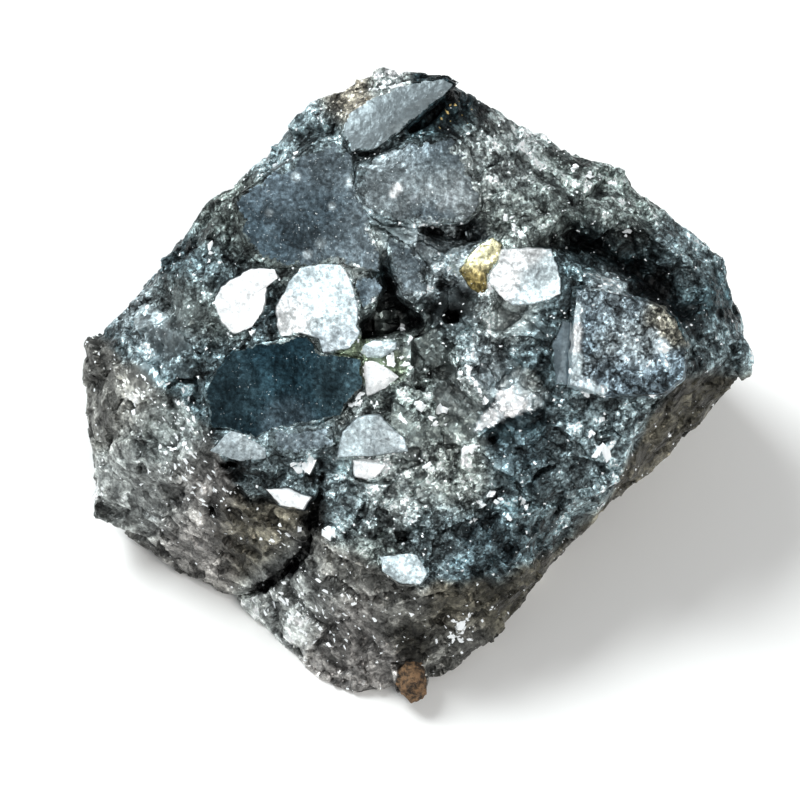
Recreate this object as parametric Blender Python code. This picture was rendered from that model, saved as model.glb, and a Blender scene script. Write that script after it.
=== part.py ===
"""Skutterudite specimen: a small piece of massive arsenide ore, broken on all sides.

The ore body is fine granular skutterudite. Larger crystals with smooth faces are grown into
its upper face, with a grain of chalcopyrite, and a lump of limonite clings to its lowest rim.

The stone is laid out lying on its back: x runs across the upper face, y runs up it and
z stands out of it, all in millimetres. The whole piece is then leaned on its flat base.
"""

import math

import bmesh
import bpy
from mathutils import Vector, noise
from mathutils.geometry import delaunay_2d_cdt

MM = 0.001
FACE_LEAN = math.radians(32)  # how far the upper face leans back from facing the sky's zenith
BASE_LEVEL = -20.0  # mm below the upper face's middle at which the flat base is ground
GAP = 0.3  # mm of clearance round each grown-in crystal
SOCKET_RISE = 8.0  # mm that a socket's cutter stands above its crystal
HOLLOW_WALL = 3.0  # mm of sloping wall between a hollow's floor and its mouth
SHARPEST_MITRE = 0.4  # least reach of a moved corner, which keeps sharp corners from shooting out
SAME_PLACE = 1e-4  # mm within which two points of the upper face count as one
ROUGHNESS = 0.22  # mm of unevenness on the broken ore
ROUGHNESS_SCALE = 0.45  # bumps per mm

# The broken rim, clockwise from the top: across, up, and how far out of the upper face.
RIM = (
    (1.5, 23.3, -2.2), (3.8, 21.8, -3.0), (6.0, 20.5, -4.0), (8.2, 19.1, -5.0),
    (9.4, 19.0, -5.2), (10.7, 17.5, -5.0), (12.7, 16.7, -5.0), (15.3, 15.9, -5.5),
    (17.0, 13.8, -5.5), (19.0, 12.2, -5.5), (21.8, 10.4, -6.0), (23.1, 9.8, -6.5),
    (23.4, 7.3, -7.0), (24.0, 4.2, -6.5), (25.2, 1.9, -6.0), (24.9, 0.8, -6.5),
    (23.6, 0.0, -7.5), (22.1, -1.2, -8.5), (21.4, -2.9, -9.5), (20.2, -3.5, -10.0),
    (19.0, -5.2, -10.5), (17.5, -6.7, -10.5), (15.1, -8.1, -10.5), (13.3, -10.2, -10.0),
    (10.9, -11.8, -9.5), (9.6, -13.8, -9.5), (9.1, -15.2, -9.5), (7.2, -17.3, -9.5),
    (6.3, -19.2, -9.0), (4.0, -20.5, -8.8), (1.5, -21.8, -8.6), (-0.3, -22.3, -8.5),
    (-2.0, -22.8, -8.6), (-4.9, -23.4, -8.8), (-7.8, -22.3, -9.5), (-10.1, -20.2, -10.5),
    (-12.5, -18.0, -12.0), (-14.2, -15.9, -12.5), (-15.9, -15.3, -13.0), (-18.2, -14.2, -13.0),
    (-21.2, -11.8, -12.5), (-23.0, -11.0, -11.5), (-25.0, -10.2, -10.5), (-24.9, -8.7, -10.0),
    (-24.3, -7.5, -9.0), (-24.5, -6.0, -8.5), (-25.4, -3.3, -8.0), (-25.5, -1.5, -8.0),
    (-25.3, 1.0, -8.0), (-25.1, 3.0, -7.5), (-23.2, 5.1, -6.5), (-21.3, 6.9, -6.0),
    (-19.7, 7.7, -5.5), (-19.6, 9.5, -5.0), (-18.7, 10.2, -5.0), (-16.9, 12.7, -4.5),
    (-15.6, 14.1, -4.0), (-14.0, 14.7, -4.0), (-12.3, 16.5, -3.5), (-11.3, 16.8, -3.5),
    (-10.9, 18.0, -3.5), (-9.1, 19.8, -3.0), (-8.3, 21.2, -3.0), (-5.9, 22.4, -2.5),
    (-2.9, 23.3, -2.2),
)

# High and low points of the broken ore inside the rim.
CREST = (
    (-6.6, 20.3, -0.8), (-4.0, 21.8, -0.6), (-5.8, 18.4, 0.4), (-2.5, 18.0, 0.6),
    (0.0, 19.8, 0.2), (2.4, 21.6, -1.0), (3.0, 20.0, -0.8), (1.4, 19.2, 0.0),
)
UPPER_RIGHT_SLOPE = (
    (5.5, 18.3, -1.4), (4.8, 15.8, 0.3), (8.3, 16.8, -2.2), (8.0, 13.8, 0.2),
    (11.5, 14.6, -1.6), (10.6, 12.9, 0.4), (14.8, 13.2, -2.2), (13.0, 12.2, -0.4),
    (17.5, 11.2, -2.6), (20.5, 9.0, -3.4), (22.0, 7.2, -4.2), (22.3, 4.5, -3.8),
    (20.9, 3.6, -2.6), (23.0, 2.2, -3.8),
)
SHADED_TROUGH = (
    (12.0, 10.6, -3.8), (14.5, 9.4, -4.4), (17.0, 8.0, -4.4), (19.2, 6.2, -4.2),
    (11.0, 9.0, 0.2), (13.2, 8.0, 0.6), (15.2, 7.2, 0.5), (18.2, 6.2, -0.8), (20.0, 4.6, -1.4),
)
BLOCK_SEAT = (
    (11.6, 6.6, 1.0), (15.5, 6.4, 0.9), (19.4, 3.8, 0.0), (19.6, 0.4, -0.6),
    (15.0, -0.9, 0.6), (11.0, -0.2, 0.6), (10.8, 3.5, 0.7),
)
MIDDLE = (
    (8.5, 5.0, 0.6), (9.0, 2.0, 0.2), (6.4, 1.2, -0.3), (5.2, 3.0, 0.4), (4.6, 5.2, 0.2),
    (3.2, 7.0, 0.3), (6.0, 8.5, 0.8), (10.4, 7.5, 0.6), (8.0, 10.6, 0.7), (7.6, 12.0, 0.4),
    (3.2, 1.2, 1.0), (4.7, -0.4, 0.9), (5.3, -1.8, 0.4), (2.8, -0.6, -0.2), (4.0, -2.0, -0.2),
    (0.8, 5.2, -0.4), (2.2, 8.2, 0.2), (1.2, 10.4, 0.4), (3.2, 11.4, -0.6), (-0.4, 12.0, 0.6),
    (-1.5, 0.8, 0.3), (0.6, -1.5, 0.6), (1.2, 2.2, 0.2), (-2.0, 2.6, -0.2),
)
CRYSTAL_SEATS = (
    (-3.2, 12.0, 0.7), (-3.0, 15.0, 0.9), (0.5, 15.5, 1.0), (2.8, 14.8, 0.8), (4.6, 13.2, 0.2),
    (-6.0, 16.8, 0.4), (-10.0, 14.8, -0.6), (-12.8, 13.0, -1.2), (-7.5, 12.5, 0.4),
    (-11.5, 10.5, -0.2), (-5.0, 9.3, 0.4), (-8.0, 10.0, 0.3), (-9.5, 8.4, 0.3),
    (-4.6, 7.6, 0.4), (-10.9, 5.0, 0.2), (-4.6, 4.2, 0.2), (-16.4, -0.2, -0.1),
    (-13.6, 3.2, 0.3), (-8.0, 2.2, 0.7), (-4.6, 1.5, 0.5), (-5.8, -2.2, 0.6),
    (-11.0, -3.6, 0.8), (-16.1, -3.0, 0.0),
)
UPPER_LEFT_KNOBS = (
    (-15.2, 11.8, -2.0), (-17.2, 9.8, -2.6), (-14.8, 9.0, -0.9), (-17.6, 7.4, -2.0),
    (-9.6, 18.0, -1.8), (-12.0, 15.6, -2.0),
)
LEFT_SHOULDER = (
    (-16.0, 6.2, -0.4), (-12.0, 9.0, -0.2), (-11.4, 6.5, 0.0), (-12.2, 4.3, 0.1),
    (-14.9, 3.6, -0.2), (-18.0, 4.2, -1.0), (-21.0, 4.2, -3.0), (-18.6, 1.0, -0.6),
    (-21.8, 0.5, -2.6), (-23.4, 2.6, -4.6),
)
LEFT_FLANK = (
    (-23.8, -1.8, -4.5), (-20.0, -1.6, -1.6), (-17.4, -2.2, -0.6), (-22.0, -5.0, -4.6),
    (-19.6, -6.0, -3.6), (-16.4, -5.2, -0.8), (-22.4, -8.0, -8.0), (-17.0, -8.0, -3.8),
    (-18.6, -10.8, -8.4), (-14.6, -8.4, -1.6), (-15.0, -12.2, -7.6), (-12.2, -10.4, -2.6),
    (-12.0, -13.8, -7.0), (-9.8, -10.2, -1.6), (-9.6, -12.6, -4.0),
)
LOWER_MIDDLE = (
    (-13.4, -6.4, 0.2), (-10.0, -6.4, 0.4), (-7.4, -5.0, 0.6), (-4.0, -5.6, 0.7),
    (-4.4, -2.2, 0.9), (-1.0, -2.6, 0.9), (0.6, -6.0, 0.6), (3.6, -5.4, 0.2),
    (2.4, -9.0, 0.3), (-2.2, -8.5, 0.6), (-6.0, -8.8, 0.4), (-6.4, -11.6, -0.4),
    (-3.0, -11.8, 0.0), (0.4, -12.0, -0.1), (3.4, -12.6, -0.6), (-0.6, -15.2, -1.2),
)
LOWER_RIGHT_SLOPE = (
    (6.5, -0.8, 0.3), (8.6, -1.6, 0.2), (5.2, -4.0, -0.3), (7.0, -5.4, -0.6),
    (6.4, -8.6, -0.6), (10.0, -4.2, -0.6), (9.8, -8.2, -1.4), (13.4, -4.4, -0.8),
    (13.6, -7.6, -2.0), (16.2, -3.2, -0.9), (11.0, -1.8, 0.0), (7.6, -12.0, -2.0),
    (4.0, -14.6, -2.0), (8.4, -13.4, -3.6), (15.0, -7.0, -2.8), (17.4, -2.2, -1.2),
    (21.4, 1.2, -2.6),
)
LOWER_FLANKS = (
    (-7.8, -14.2, -2.6), (-4.0, -15.2, -1.8), (-9.2, -17.0, -6.6), (-5.4, -18.4, -5.2),
    (-2.0, -17.6, -3.2), (-5.2, -21.0, -7.0), (-2.2, -20.2, -5.6), (1.0, -16.2, -2.4),
    (2.6, -18.2, -5.4), (5.6, -16.4, -5.4), (4.6, -18.9, -7.2), (1.2, -20.2, -6.4),
)
RELIEF = (
    CREST + UPPER_RIGHT_SLOPE + SHADED_TROUGH + BLOCK_SEAT + MIDDLE + CRYSTAL_SEATS
    + UPPER_LEFT_KNOBS + LEFT_SHOULDER + LEFT_FLANK + LOWER_MIDDLE + LOWER_RIGHT_SLOPE
    + LOWER_FLANKS
)

# Behind the rim the stone goes on down, ever less jagged, to these depths in mm.
BACK_DEPTHS = (2.5, 7.0, 14.0, 24.0, 38.0)
EVENING_PASSES = 3  # how often the jags are evened out between one depth and the next

# Broken planes that bound the back. Each touches the rim from behind, and is given by the
# direction that it faces round the stone and by how far it faces downwards, in degrees.
FRACTURES = (
    (93, 29), (62, 24), (124, 25), (33, 19), (156, 17), (-8, 18), (188, 21), (222, 20),
    (-42, 15), (258, 13),
)
RIM_MARGIN = 0.15  # mm left between the rim and each broken plane

# Hollows broken into the upper face: floor level, width left at the floor, and the mouth's corners.
HOLLOWS = {
    "middle_hollow": (-3.2, 0.75, (
        (-4.7, 4.6), (-3.5, 5.7), (-2.9, 7.2), (-2.9, 8.3), (-2.3, 8.2), (-1.8, 6.6), (-1.0, 5.9),
        (-0.2, 5.2), (0.3, 4.6), (-1.0, 3.7), (-2.5, 3.4), (-4.2, 3.4), (-5.2, 2.9),
    )),
    "small_hollow": (-2.2, 0.6, ((1.4, 4.7), (2.0, 6.0), (3.1, 6.0), (3.4, 5.0), (2.4, 4.5))),
    "dome_ledge": (-1.8, 0.6, (
        (-0.6, 11.5), (0.4, 12.3), (3.0, 12.3), (4.4, 12.9), (5.2, 12.2), (4.2, 11.2), (2.6, 10.5),
        (1.2, 11.1),
    )),
    "crest_ledge": (-1.4, 0.6, (
        (-5.2, 17.7), (-3.6, 18.0), (-1.6, 19.1), (1.5, 21.4), (3.0, 22.5), (3.7, 21.7),
        (1.2, 19.3), (-0.9, 18.55), (-2.8, 17.6), (-4.4, 16.9),
    )),
    "left_slot": (-2.4, 0.6, ((-15.8, -5.8), (-14.2, -5.6), (-12.4, -5.8), (-14.2, -6.4), (-15.3, -6.4))),
    "fan_slot": (-2.2, 0.5, ((4.9, -3.6), (5.9, -3.4), (6.1, -4.2), (5.2, -4.7))),
    "lower_dimple": (-1.6, 0.7, (
        (-2.6, -11.6), (-2.0, -10.9), (-0.9, -10.9), (-0.2, -11.5), (-0.9, -12.2), (-2.1, -12.2),
    )),
    "flank_pit": (-5.4, 0.6, ((-16.3, -9.2), (-15.7, -8.7), (-15.1, -9.2), (-15.5, -9.9), (-16.1, -9.8))),
}

# The crevice that parts the left flank from the lower one: a route of x, y, surface height
# and half width, cut to a sharp floor this far down.
CREVICE = (
    (-7.2, -6.3, 0.5, 0.35), (-7.5, -8.2, 0.3, 0.6), (-8.2, -10.5, -0.8, 0.65),
    (-8.6, -12.5, -3.0, 0.7), (-10.2, -14.2, -5.8, 0.7), (-12.0, -15.4, -9.0, 0.7),
    (-14.8, -16.4, -13.0, 0.8),
)
CREVICE_DEPTH = 3.2
CREVICE_MOUTH_RISE = 2.5

# Crystals grown into the ore: height of the face at its middle, its slopes across and up,
# how deep the crystal is rooted, the width left at the root, and the face's corners.
CRYSTALS = {
    "crest_crystal": (0.75, 0.0, -0.34, 2.6, 0.85, (
        (-5.8, 18.9), (-5.2, 20.3), (-3.1, 21.7), (-0.6, 22.5), (1.7, 23.0), (2.4, 22.5),
        (0.1, 20.4), (-1.6, 19.2), (-3.2, 17.9), (-5.0, 17.6),
    )),
    "broad_crystal": (0.75, 0.10, -0.05, 3.0, 0.88, (
        (-13.7, 13.9), (-11.0, 15.7), (-7.6, 18.0), (-6.4, 18.0), (-5.3, 17.1), (-4.95, 15.0),
        (-4.25, 13.3), (-3.8, 11.4), (-3.2, 9.6), (-3.2, 8.6), (-5.2, 9.0), (-6.0, 9.3), (-9.1, 9.1),
        (-10.7, 8.9), (-12.4, 9.6), (-13.4, 12.2),
    )),
    "narrow_crystal": (0.6, 0.0, 0.05, 2.6, 0.8, (
        (-4.3, 8.4), (-3.2, 8.2), (-3.1, 7.2), (-3.7, 6.2), (-4.2, 5.8), (-4.5, 6.5), (-4.7, 7.4),
    )),
    "dome_crystal": (1.6, -0.02, -0.06, 3.2, 0.85, (
        (-4.6, 16.4), (-2.0, 17.4), (-0.8, 18.0), (0.6, 18.5), (2.2, 18.3), (3.2, 17.4), (3.7, 16.0),
        (4.2, 14.4), (4.1, 13.1), (3.0, 12.4), (-0.5, 12.3), (-2.5, 12.6), (-3.9, 13.5), (-4.6, 15.0),
    )),
    "hollow_side_crystal": (0.85, -0.25, -0.08, 3.4, 0.85, (
        (-2.2, 10.9), (-1.2, 10.5), (0.2, 9.0), (0.3, 7.1), (-0.5, 6.3), (-1.2, 6.7), (-2.0, 8.6),
        (-2.4, 10.0),
    )),
    "west_bright_crystal": (0.6, 0.06, 0.0, 2.6, 0.8, (
        (-15.2, 6.2), (-14.7, 7.2), (-12.7, 8.4), (-11.1, 8.5), (-10.9, 7.9), (-11.8, 7.2),
        (-12.1, 5.6), (-12.7, 4.6), (-14.0, 4.0), (-14.7, 4.9),
    )),
    "centre_bright_crystal": (1.15, 0.03, 0.0, 3.0, 0.82, (
        (-10.5, 4.7), (-10.5, 6.0), (-8.9, 8.4), (-7.5, 8.7), (-6.1, 8.8), (-5.5, 8.0), (-4.9, 6.0),
        (-5.1, 4.6), (-4.8, 4.1), (-5.5, 2.9), (-7.3, 2.7), (-7.6, 3.8), (-9.0, 4.0), (-10.2, 3.8),
    )),
    "dark_crystal": (1.0, 0.03, 0.06, 3.0, 0.88, (
        (-16.0, -0.2), (-13.9, 2.5), (-11.9, 2.9), (-10.3, 3.3), (-8.6, 3.5), (-8.0, 2.3),
        (-5.8, 2.1), (-4.7, 1.9), (-4.6, 0.9), (-4.5, -0.2), (-5.5, -1.1), (-6.2, -2.1), (-8.5, -2.8),
        (-11.2, -3.1), (-12.3, -3.8), (-14.2, -3.1), (-15.4, -3.1), (-15.7, -2.1),
    )),
    "triangle_crystal": (0.9, 0.05, 0.1, 1.8, 0.7, (
        (-4.1, 1.6), (-3.2, 1.4), (-1.9, 0.6), (-3.9, -0.6),
    )),
    "chalcopyrite_grain": (0.8, 0.05, 0.05, 2.4, 0.75, (
        (3.2, 8.6), (4.2, 10.0), (5.3, 10.8), (5.9, 10.3), (5.6, 9.3), (4.9, 8.4), (5.0, 7.4),
        (4.6, 7.0), (3.9, 7.5),
    )),
    "pale_crystal": (1.15, 0.0, 0.03, 2.8, 0.82, (
        (6.3, 9.9), (9.5, 9.9), (10.1, 8.6), (10.4, 6.9), (9.0, 6.4), (7.1, 6.3), (6.1, 6.9),
        (5.5, 7.7), (5.5, 8.3), (6.1, 9.0),
    )),
    "block_crystal": (1.9, -0.04, 0.03, 3.6, 0.92, (
        (11.8, 7.0), (15.0, 6.5), (17.8, 5.6), (18.8, 4.8), (19.7, 3.0), (19.4, 0.6), (18.0, -0.4),
        (13.8, -0.5), (11.4, 0.2), (11.7, 3.0),
    )),
    "left_pale_crystal": (0.7, 0.05, 0.2, 2.2, 0.8, (
        (-15.5, -4.9), (-14.1, -3.7), (-12.7, -4.3), (-11.8, -4.7), (-11.8, -5.4), (-13.5, -5.5),
    )),
    "middle_facet_crystal": (1.1, 0.0, 0.18, 2.2, 0.8, (
        (-11.2, -4.9), (-11.0, -3.6), (-8.6, -3.3), (-6.8, -3.2), (-6.5, -4.4), (-7.9, -4.9),
        (-9.5, -5.3),
    )),
    "wedge_crystal": (1.4, 0.0, 0.12, 2.4, 0.8, (
        (-6.0, -5.3), (-5.6, -3.6), (-4.6, -2.7), (-3.2, -2.6), (-1.5, -4.0), (-1.2, -4.9),
        (-3.8, -5.0),
    )),
    "white_ledge_crystal": (0.9, 0.0, -0.15, 2.0, 0.7, (
        (-11.3, -7.9), (-10.3, -8.0), (-8.5, -8.4), (-9.1, -9.1), (-10.3, -8.8),
    )),
    "lower_bright_crystal": (0.35, 0.0, -0.2, 2.4, 0.8, (
        (-2.8, -13.0), (-0.5, -13.0), (0.2, -14.0), (-0.2, -14.7), (-1.4, -14.6), (-2.5, -13.9),
    )),
    "upper_white_crystal": (0.5, 0.0, 0.1, 1.8, 0.75, (
        (-4.4, 2.5), (-4.0, 3.0), (-3.0, 3.1), (-2.1, 3.1), (-2.1, 2.7), (-3.1, 2.2), (-3.9, 2.1),
    )),
    "low_white_crystal": (0.95, 0.0, -0.1, 2.0, 0.75, (
        (-4.9, -5.7), (-2.8, -6.0), (-3.5, -6.7), (-4.6, -6.7),
    )),
    "strip_crystal": (0.9, -0.1, 0.0, 2.2, 0.8, (
        (10.2, 0.3), (10.1, 3.0), (10.6, 4.8), (11.3, 4.7), (11.3, 3.0), (11.0, 0.3),
    )),
}

LIMONITE_CORNERS = ((-1.9, -21.1), (-0.3, -20.9), (0.2, -22.2), (0.0, -23.0), (-0.5, -23.4), (-1.5, -22.9))
LIMONITE_FACE = (-6.2, 0.0, 0.45, 2.0, 0.8)

# Colour and roughness of each mineral; all but the limonite are metallic.
ORE = ((0.17, 0.19, 0.19), 0.5, 0.8)
SKUTTERUDITE_FACE = ((0.30, 0.34, 0.36), 0.32, 0.9)
BRIGHT_FACE = ((0.80, 0.86, 0.88), 0.25, 0.9)
DARK_FACE = ((0.05, 0.08, 0.10), 0.3, 0.9)
CHALCOPYRITE = ((0.55, 0.43, 0.16), 0.35, 0.9)
LIMONITE = ((0.17, 0.10, 0.05), 0.85, 0.0)
MINERALS = {
    "west_bright_crystal": BRIGHT_FACE,
    "centre_bright_crystal": BRIGHT_FACE,
    "triangle_crystal": BRIGHT_FACE,
    "pale_crystal": BRIGHT_FACE,
    "white_ledge_crystal": BRIGHT_FACE,
    "lower_bright_crystal": BRIGHT_FACE,
    "wedge_crystal": BRIGHT_FACE,
    "upper_white_crystal": BRIGHT_FACE,
    "low_white_crystal": BRIGHT_FACE,
    "left_pale_crystal": BRIGHT_FACE,
    "dark_crystal": DARK_FACE,
    "chalcopyrite_grain": CHALCOPYRITE,
}


def clear_scene():
    for old in list(bpy.data.objects):
        bpy.data.objects.remove(old, do_unlink=True)


def mineral(name, look):
    """A Principled material of one mineral's colour, roughness and metallic value."""
    colour, roughness, metallic = look
    material = bpy.data.materials.new(name)
    material.use_nodes = True
    shader = material.node_tree.nodes["Principled BSDF"]
    shader.inputs["Base Color"].default_value = (*colour, 1.0)
    shader.inputs["Roughness"].default_value = roughness
    shader.inputs["Metallic"].default_value = metallic
    material.diffuse_color = (*colour, 1.0)
    return material


def add_object(name, shape, stone, look=None):
    """Put a finished bmesh into the scene as a piece of the leaning stone."""
    bmesh.ops.scale(shape, vec=(MM, MM, MM), verts=shape.verts)
    bmesh.ops.recalc_face_normals(shape, faces=shape.faces)
    mesh = bpy.data.meshes.new(name)
    shape.to_mesh(mesh)
    shape.free()
    piece = bpy.data.objects.new(name, mesh)
    bpy.context.collection.objects.link(piece)
    piece.parent = stone
    if look is None:
        piece.hide_render = True
        piece.display_type = "WIRE"
    else:
        mesh.materials.append(mineral(name, look))
    return piece


def loft(rings):
    """A closed solid through rings of equally many points, with a flat cap at each end."""
    shape = bmesh.new()
    loops = [[shape.verts.new(point) for point in ring] for ring in rings]
    for lower, upper in zip(loops, loops[1:]):
        for index in range(len(lower)):
            after = (index + 1) % len(lower)
            shape.faces.new((lower[index], lower[after], upper[after], upper[index]))
    shape.faces.new(list(reversed(loops[0])))
    shape.faces.new(loops[-1])
    return shape


def middle_of(corners):
    count = len(corners)
    return sum(x for x, y in corners) / count, sum(y for x, y in corners) / count


def grown(corners, margin):
    """The outline with every side moved outwards by a margin and its corners met again."""
    area = sum(a[0] * b[1] - b[0] * a[1] for a, b in zip(corners, corners[1:] + corners[:1]))
    turn = math.copysign(1.0, area)
    points = [Vector(corner) for corner in corners]
    result = []
    for index, point in enumerate(points):
        before = (point - points[index - 1]).normalized()
        after = (points[(index + 1) % len(points)] - point).normalized()
        normal_before = Vector((before.y, -before.x)) * turn
        normal_after = Vector((after.y, -after.x)) * turn
        mitre = normal_before + normal_after
        reach = max(mitre.length_squared / 2, SHARPEST_MITRE)
        moved = point + mitre * (margin / reach)
        result.append((moved.x, moved.y))
    return tuple(result)


def crystal_rings(face, corners, margin):
    """The root and the sloping flat face of a crystal, both moved outwards by a margin."""
    height, slope_x, slope_y, depth, root_width = face
    middle_x, middle_y = middle_of(corners)
    root, top = [], []
    for x, y in grown(corners, margin):
        level = height + slope_x * (x - middle_x) + slope_y * (y - middle_y)
        root_x = middle_x + (x - middle_x) * root_width
        root_y = middle_y + (y - middle_y) * root_width
        root.append((root_x, root_y, level - depth - margin))
        top.append((x, y, level))
    return root, top


def crystal(face, corners):
    return loft(crystal_rings(face, corners, 0.0))


def socket(face, corners):
    """The crystal's cutter: a gap wider all round, and carried straight out of the ore."""
    root, top = crystal_rings(face, corners, GAP)
    sky = [(x, y, level + SOCKET_RISE) for x, y, level in top]
    return loft((root, top, sky))


def hollow_prism(floor, floor_width, corners):
    """A cutter whose mouth has the given corners and whose floor is narrower."""
    middle_x, middle_y = middle_of(corners)
    low = [
        (middle_x + (x - middle_x) * floor_width, middle_y + (y - middle_y) * floor_width, floor)
        for x, y in corners
    ]
    mouth = [(x, y, floor + HOLLOW_WALL) for x, y in corners]
    sky = [(x, y, SOCKET_RISE) for x, y in corners]
    return loft((low, mouth, sky))


def crevice_wedge():
    """A V-shaped cutter along the crevice's route."""
    rings = []
    for index, (x, y, level, half_width) in enumerate(CREVICE):
        before = CREVICE[max(index - 1, 0)]
        after = CREVICE[min(index + 1, len(CREVICE) - 1)]
        along = Vector((after[0] - before[0], after[1] - before[1])).normalized()
        side = Vector((-along.y, along.x)) * half_width
        mouth = level + CREVICE_MOUTH_RISE
        rings.append((
            (x + side.x, y + side.y, mouth),
            (x, y, level - CREVICE_DEPTH),
            (x - side.x, y - side.y, mouth),
        ))
    return loft(rings)


def evened(outline):
    """The closed outline with its jags worn down by averaging each point with its neighbours."""
    for _ in range(EVENING_PASSES):
        outline = [
            outline[index] * 0.5 + (outline[index - 1] + outline[(index + 1) % len(outline)]) * 0.25
            for index in range(len(outline))
        ]
    return outline


def clip(shape, point, outwards):
    """Take off everything beyond a plane and close the cut with a flat face."""
    everything = shape.verts[:] + shape.edges[:] + shape.faces[:]
    bmesh.ops.bisect_plane(
        shape, geom=everything, plane_co=point, plane_no=outwards, clear_outer=True
    )
    open_edges = [edge for edge in shape.edges if edge.is_boundary]
    bmesh.ops.holes_fill(shape, edges=open_edges, sides=0)


def break_off(shape, facing, dip):
    """Clip the back with a plane that faces out and down, and just misses the rim."""
    outwards = Vector((
        math.cos(facing) * math.cos(dip), math.sin(facing) * math.cos(dip), -math.sin(dip)
    ))
    reach = max(outwards.dot(Vector(point)) for point in RIM) + RIM_MARGIN
    clip(shape, outwards * reach, outwards)


def ore_body():
    """The broken ore: jagged upper face, drawn-in back, rough all over, ground flat below."""
    points = RIM + RELIEF
    flat = [Vector((x, y)) for x, y, z in points]
    around = list(range(len(RIM)))
    edges = list(zip(around, around[1:] + around[:1]))
    inside_faces = 1
    found, _, triangles, sources, _, _ = delaunay_2d_cdt(
        flat, edges, [around], inside_faces, SAME_PLACE
    )
    shape = bmesh.new()
    placed = {}
    for index, point in enumerate(found):
        source = sources[index][0]
        placed[source] = index
        shape.verts.new((point.x, point.y, points[source][2]))
    shape.verts.ensure_lookup_table()
    for triangle in triangles:
        shape.faces.new([shape.verts[index] for index in triangle])

    ring = [shape.verts[placed[index]] for index in around]
    outline = [Vector(point) for point in RIM]
    for depth in BACK_DEPTHS:
        outline = evened(outline)
        deeper = [shape.verts.new(point - Vector((0.0, 0.0, depth))) for point in outline]
        for index in around:
            after = (index + 1) % len(RIM)
            shape.faces.new((ring[index], ring[after], deeper[after], deeper[index]))
        ring = deeper
    shape.faces.new(ring)
    for facing, dip in FRACTURES:
        break_off(shape, math.radians(facing), math.radians(dip))
    bmesh.ops.triangulate(shape, faces=[face for face in shape.faces if len(face.verts) > 3])
    bmesh.ops.subdivide_edges(shape, edges=shape.edges, cuts=1, use_grid_fill=True)

    for vertex in shape.verts:
        offset = noise.noise_vector(vertex.co * ROUGHNESS_SCALE)
        vertex.co += offset * ROUGHNESS
    up = Vector((0.0, math.sin(FACE_LEAN), math.cos(FACE_LEAN)))
    clip(shape, up * BASE_LEVEL, -up)
    bmesh.ops.triangulate(shape, faces=[face for face in shape.faces if len(face.verts) > 3])
    return shape


def cut(body, cutter):
    modifier = body.modifiers.new(cutter.name, "BOOLEAN")
    modifier.operation = "DIFFERENCE"
    modifier.solver = "EXACT"
    modifier.object = cutter


def stand_on_base(stone):
    """Lean the stone on its base, with the middle of its box over the origin."""
    stone.rotation_euler.x = FACE_LEAN
    bpy.context.view_layer.update()
    evaluated = bpy.context.evaluated_depsgraph_get()
    corners = []
    for piece in stone.children:
        if piece.hide_render:
            continue
        solid = piece.evaluated_get(evaluated)
        corners += [solid.matrix_world @ vertex.co for vertex in solid.data.vertices]
    low = [min(corner[axis] for corner in corners) for axis in range(3)]
    high = [max(corner[axis] for corner in corners) for axis in range(3)]
    stone.location = (-(low[0] + high[0]) / 2, -(low[1] + high[1]) / 2, -low[2])


clear_scene()
stone = bpy.data.objects.new("specimen", None)
bpy.context.collection.objects.link(stone)

ore = add_object("ore_body", ore_body(), stone, ORE)
for name, (*face, corners) in CRYSTALS.items():
    look = MINERALS.get(name, SKUTTERUDITE_FACE)
    add_object(name, crystal(face, corners), stone, look)
    cut(ore, add_object(name + "_socket", socket(face, corners), stone))

add_object("limonite_lump", crystal(LIMONITE_FACE, LIMONITE_CORNERS), stone, LIMONITE)
cut(ore, add_object("limonite_socket", socket(LIMONITE_FACE, LIMONITE_CORNERS), stone))

for name, (floor, floor_width, corners) in HOLLOWS.items():
    cut(ore, add_object(name, hollow_prism(floor, floor_width, corners), stone))
cut(ore, add_object("crevice", crevice_wedge(), stone))

stand_on_base(stone)
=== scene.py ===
"""Looks of the skutterudite specimen: broken metallic ore with crystals grown into its leaning face."""

import math

import bmesh
import bpy
import numpy as np
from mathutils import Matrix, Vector


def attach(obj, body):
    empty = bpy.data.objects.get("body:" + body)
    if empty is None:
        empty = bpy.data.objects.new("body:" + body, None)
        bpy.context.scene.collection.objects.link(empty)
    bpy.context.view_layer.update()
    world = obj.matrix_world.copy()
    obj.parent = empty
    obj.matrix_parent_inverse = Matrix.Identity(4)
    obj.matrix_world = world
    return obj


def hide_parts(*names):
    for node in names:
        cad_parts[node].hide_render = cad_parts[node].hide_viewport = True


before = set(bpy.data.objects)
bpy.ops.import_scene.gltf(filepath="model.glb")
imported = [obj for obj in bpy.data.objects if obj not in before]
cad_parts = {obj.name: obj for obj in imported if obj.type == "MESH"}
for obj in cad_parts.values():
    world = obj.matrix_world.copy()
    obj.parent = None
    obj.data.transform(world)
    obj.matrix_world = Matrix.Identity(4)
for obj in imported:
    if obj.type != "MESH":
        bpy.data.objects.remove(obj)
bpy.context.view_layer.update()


# ------------------------------
# The leaning face. The stone was laid out on its back, with x across its upper face, y up it
# and z out of it in millimetres, and was then leaned back on its flat base.

MM = 0.001
LEAN = math.radians(32)
FACE_MIDDLE = np.array([0.147, -3.404, 20.0]) * MM
TURN = np.array([
    [1.0, 0.0, 0.0],
    [0.0, math.cos(LEAN), -math.sin(LEAN)],
    [0.0, math.sin(LEAN), math.cos(LEAN)],
])


def on_face(world):
    """Places in metres as millimetres across, up and out of the face: shifted, then turned back."""
    return (world - FACE_MIDDLE) @ TURN / MM


def in_world(face):
    """Millimetres across, up and out of the face as places in metres: turned, then shifted."""
    return face @ TURN.T * MM + FACE_MIDDLE


# ------------------------------
# Seats of the crystals. Each crystal was grown into the ore, so the ore closes round it. The
# corners of its face and of its root are read from the frame.

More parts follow.
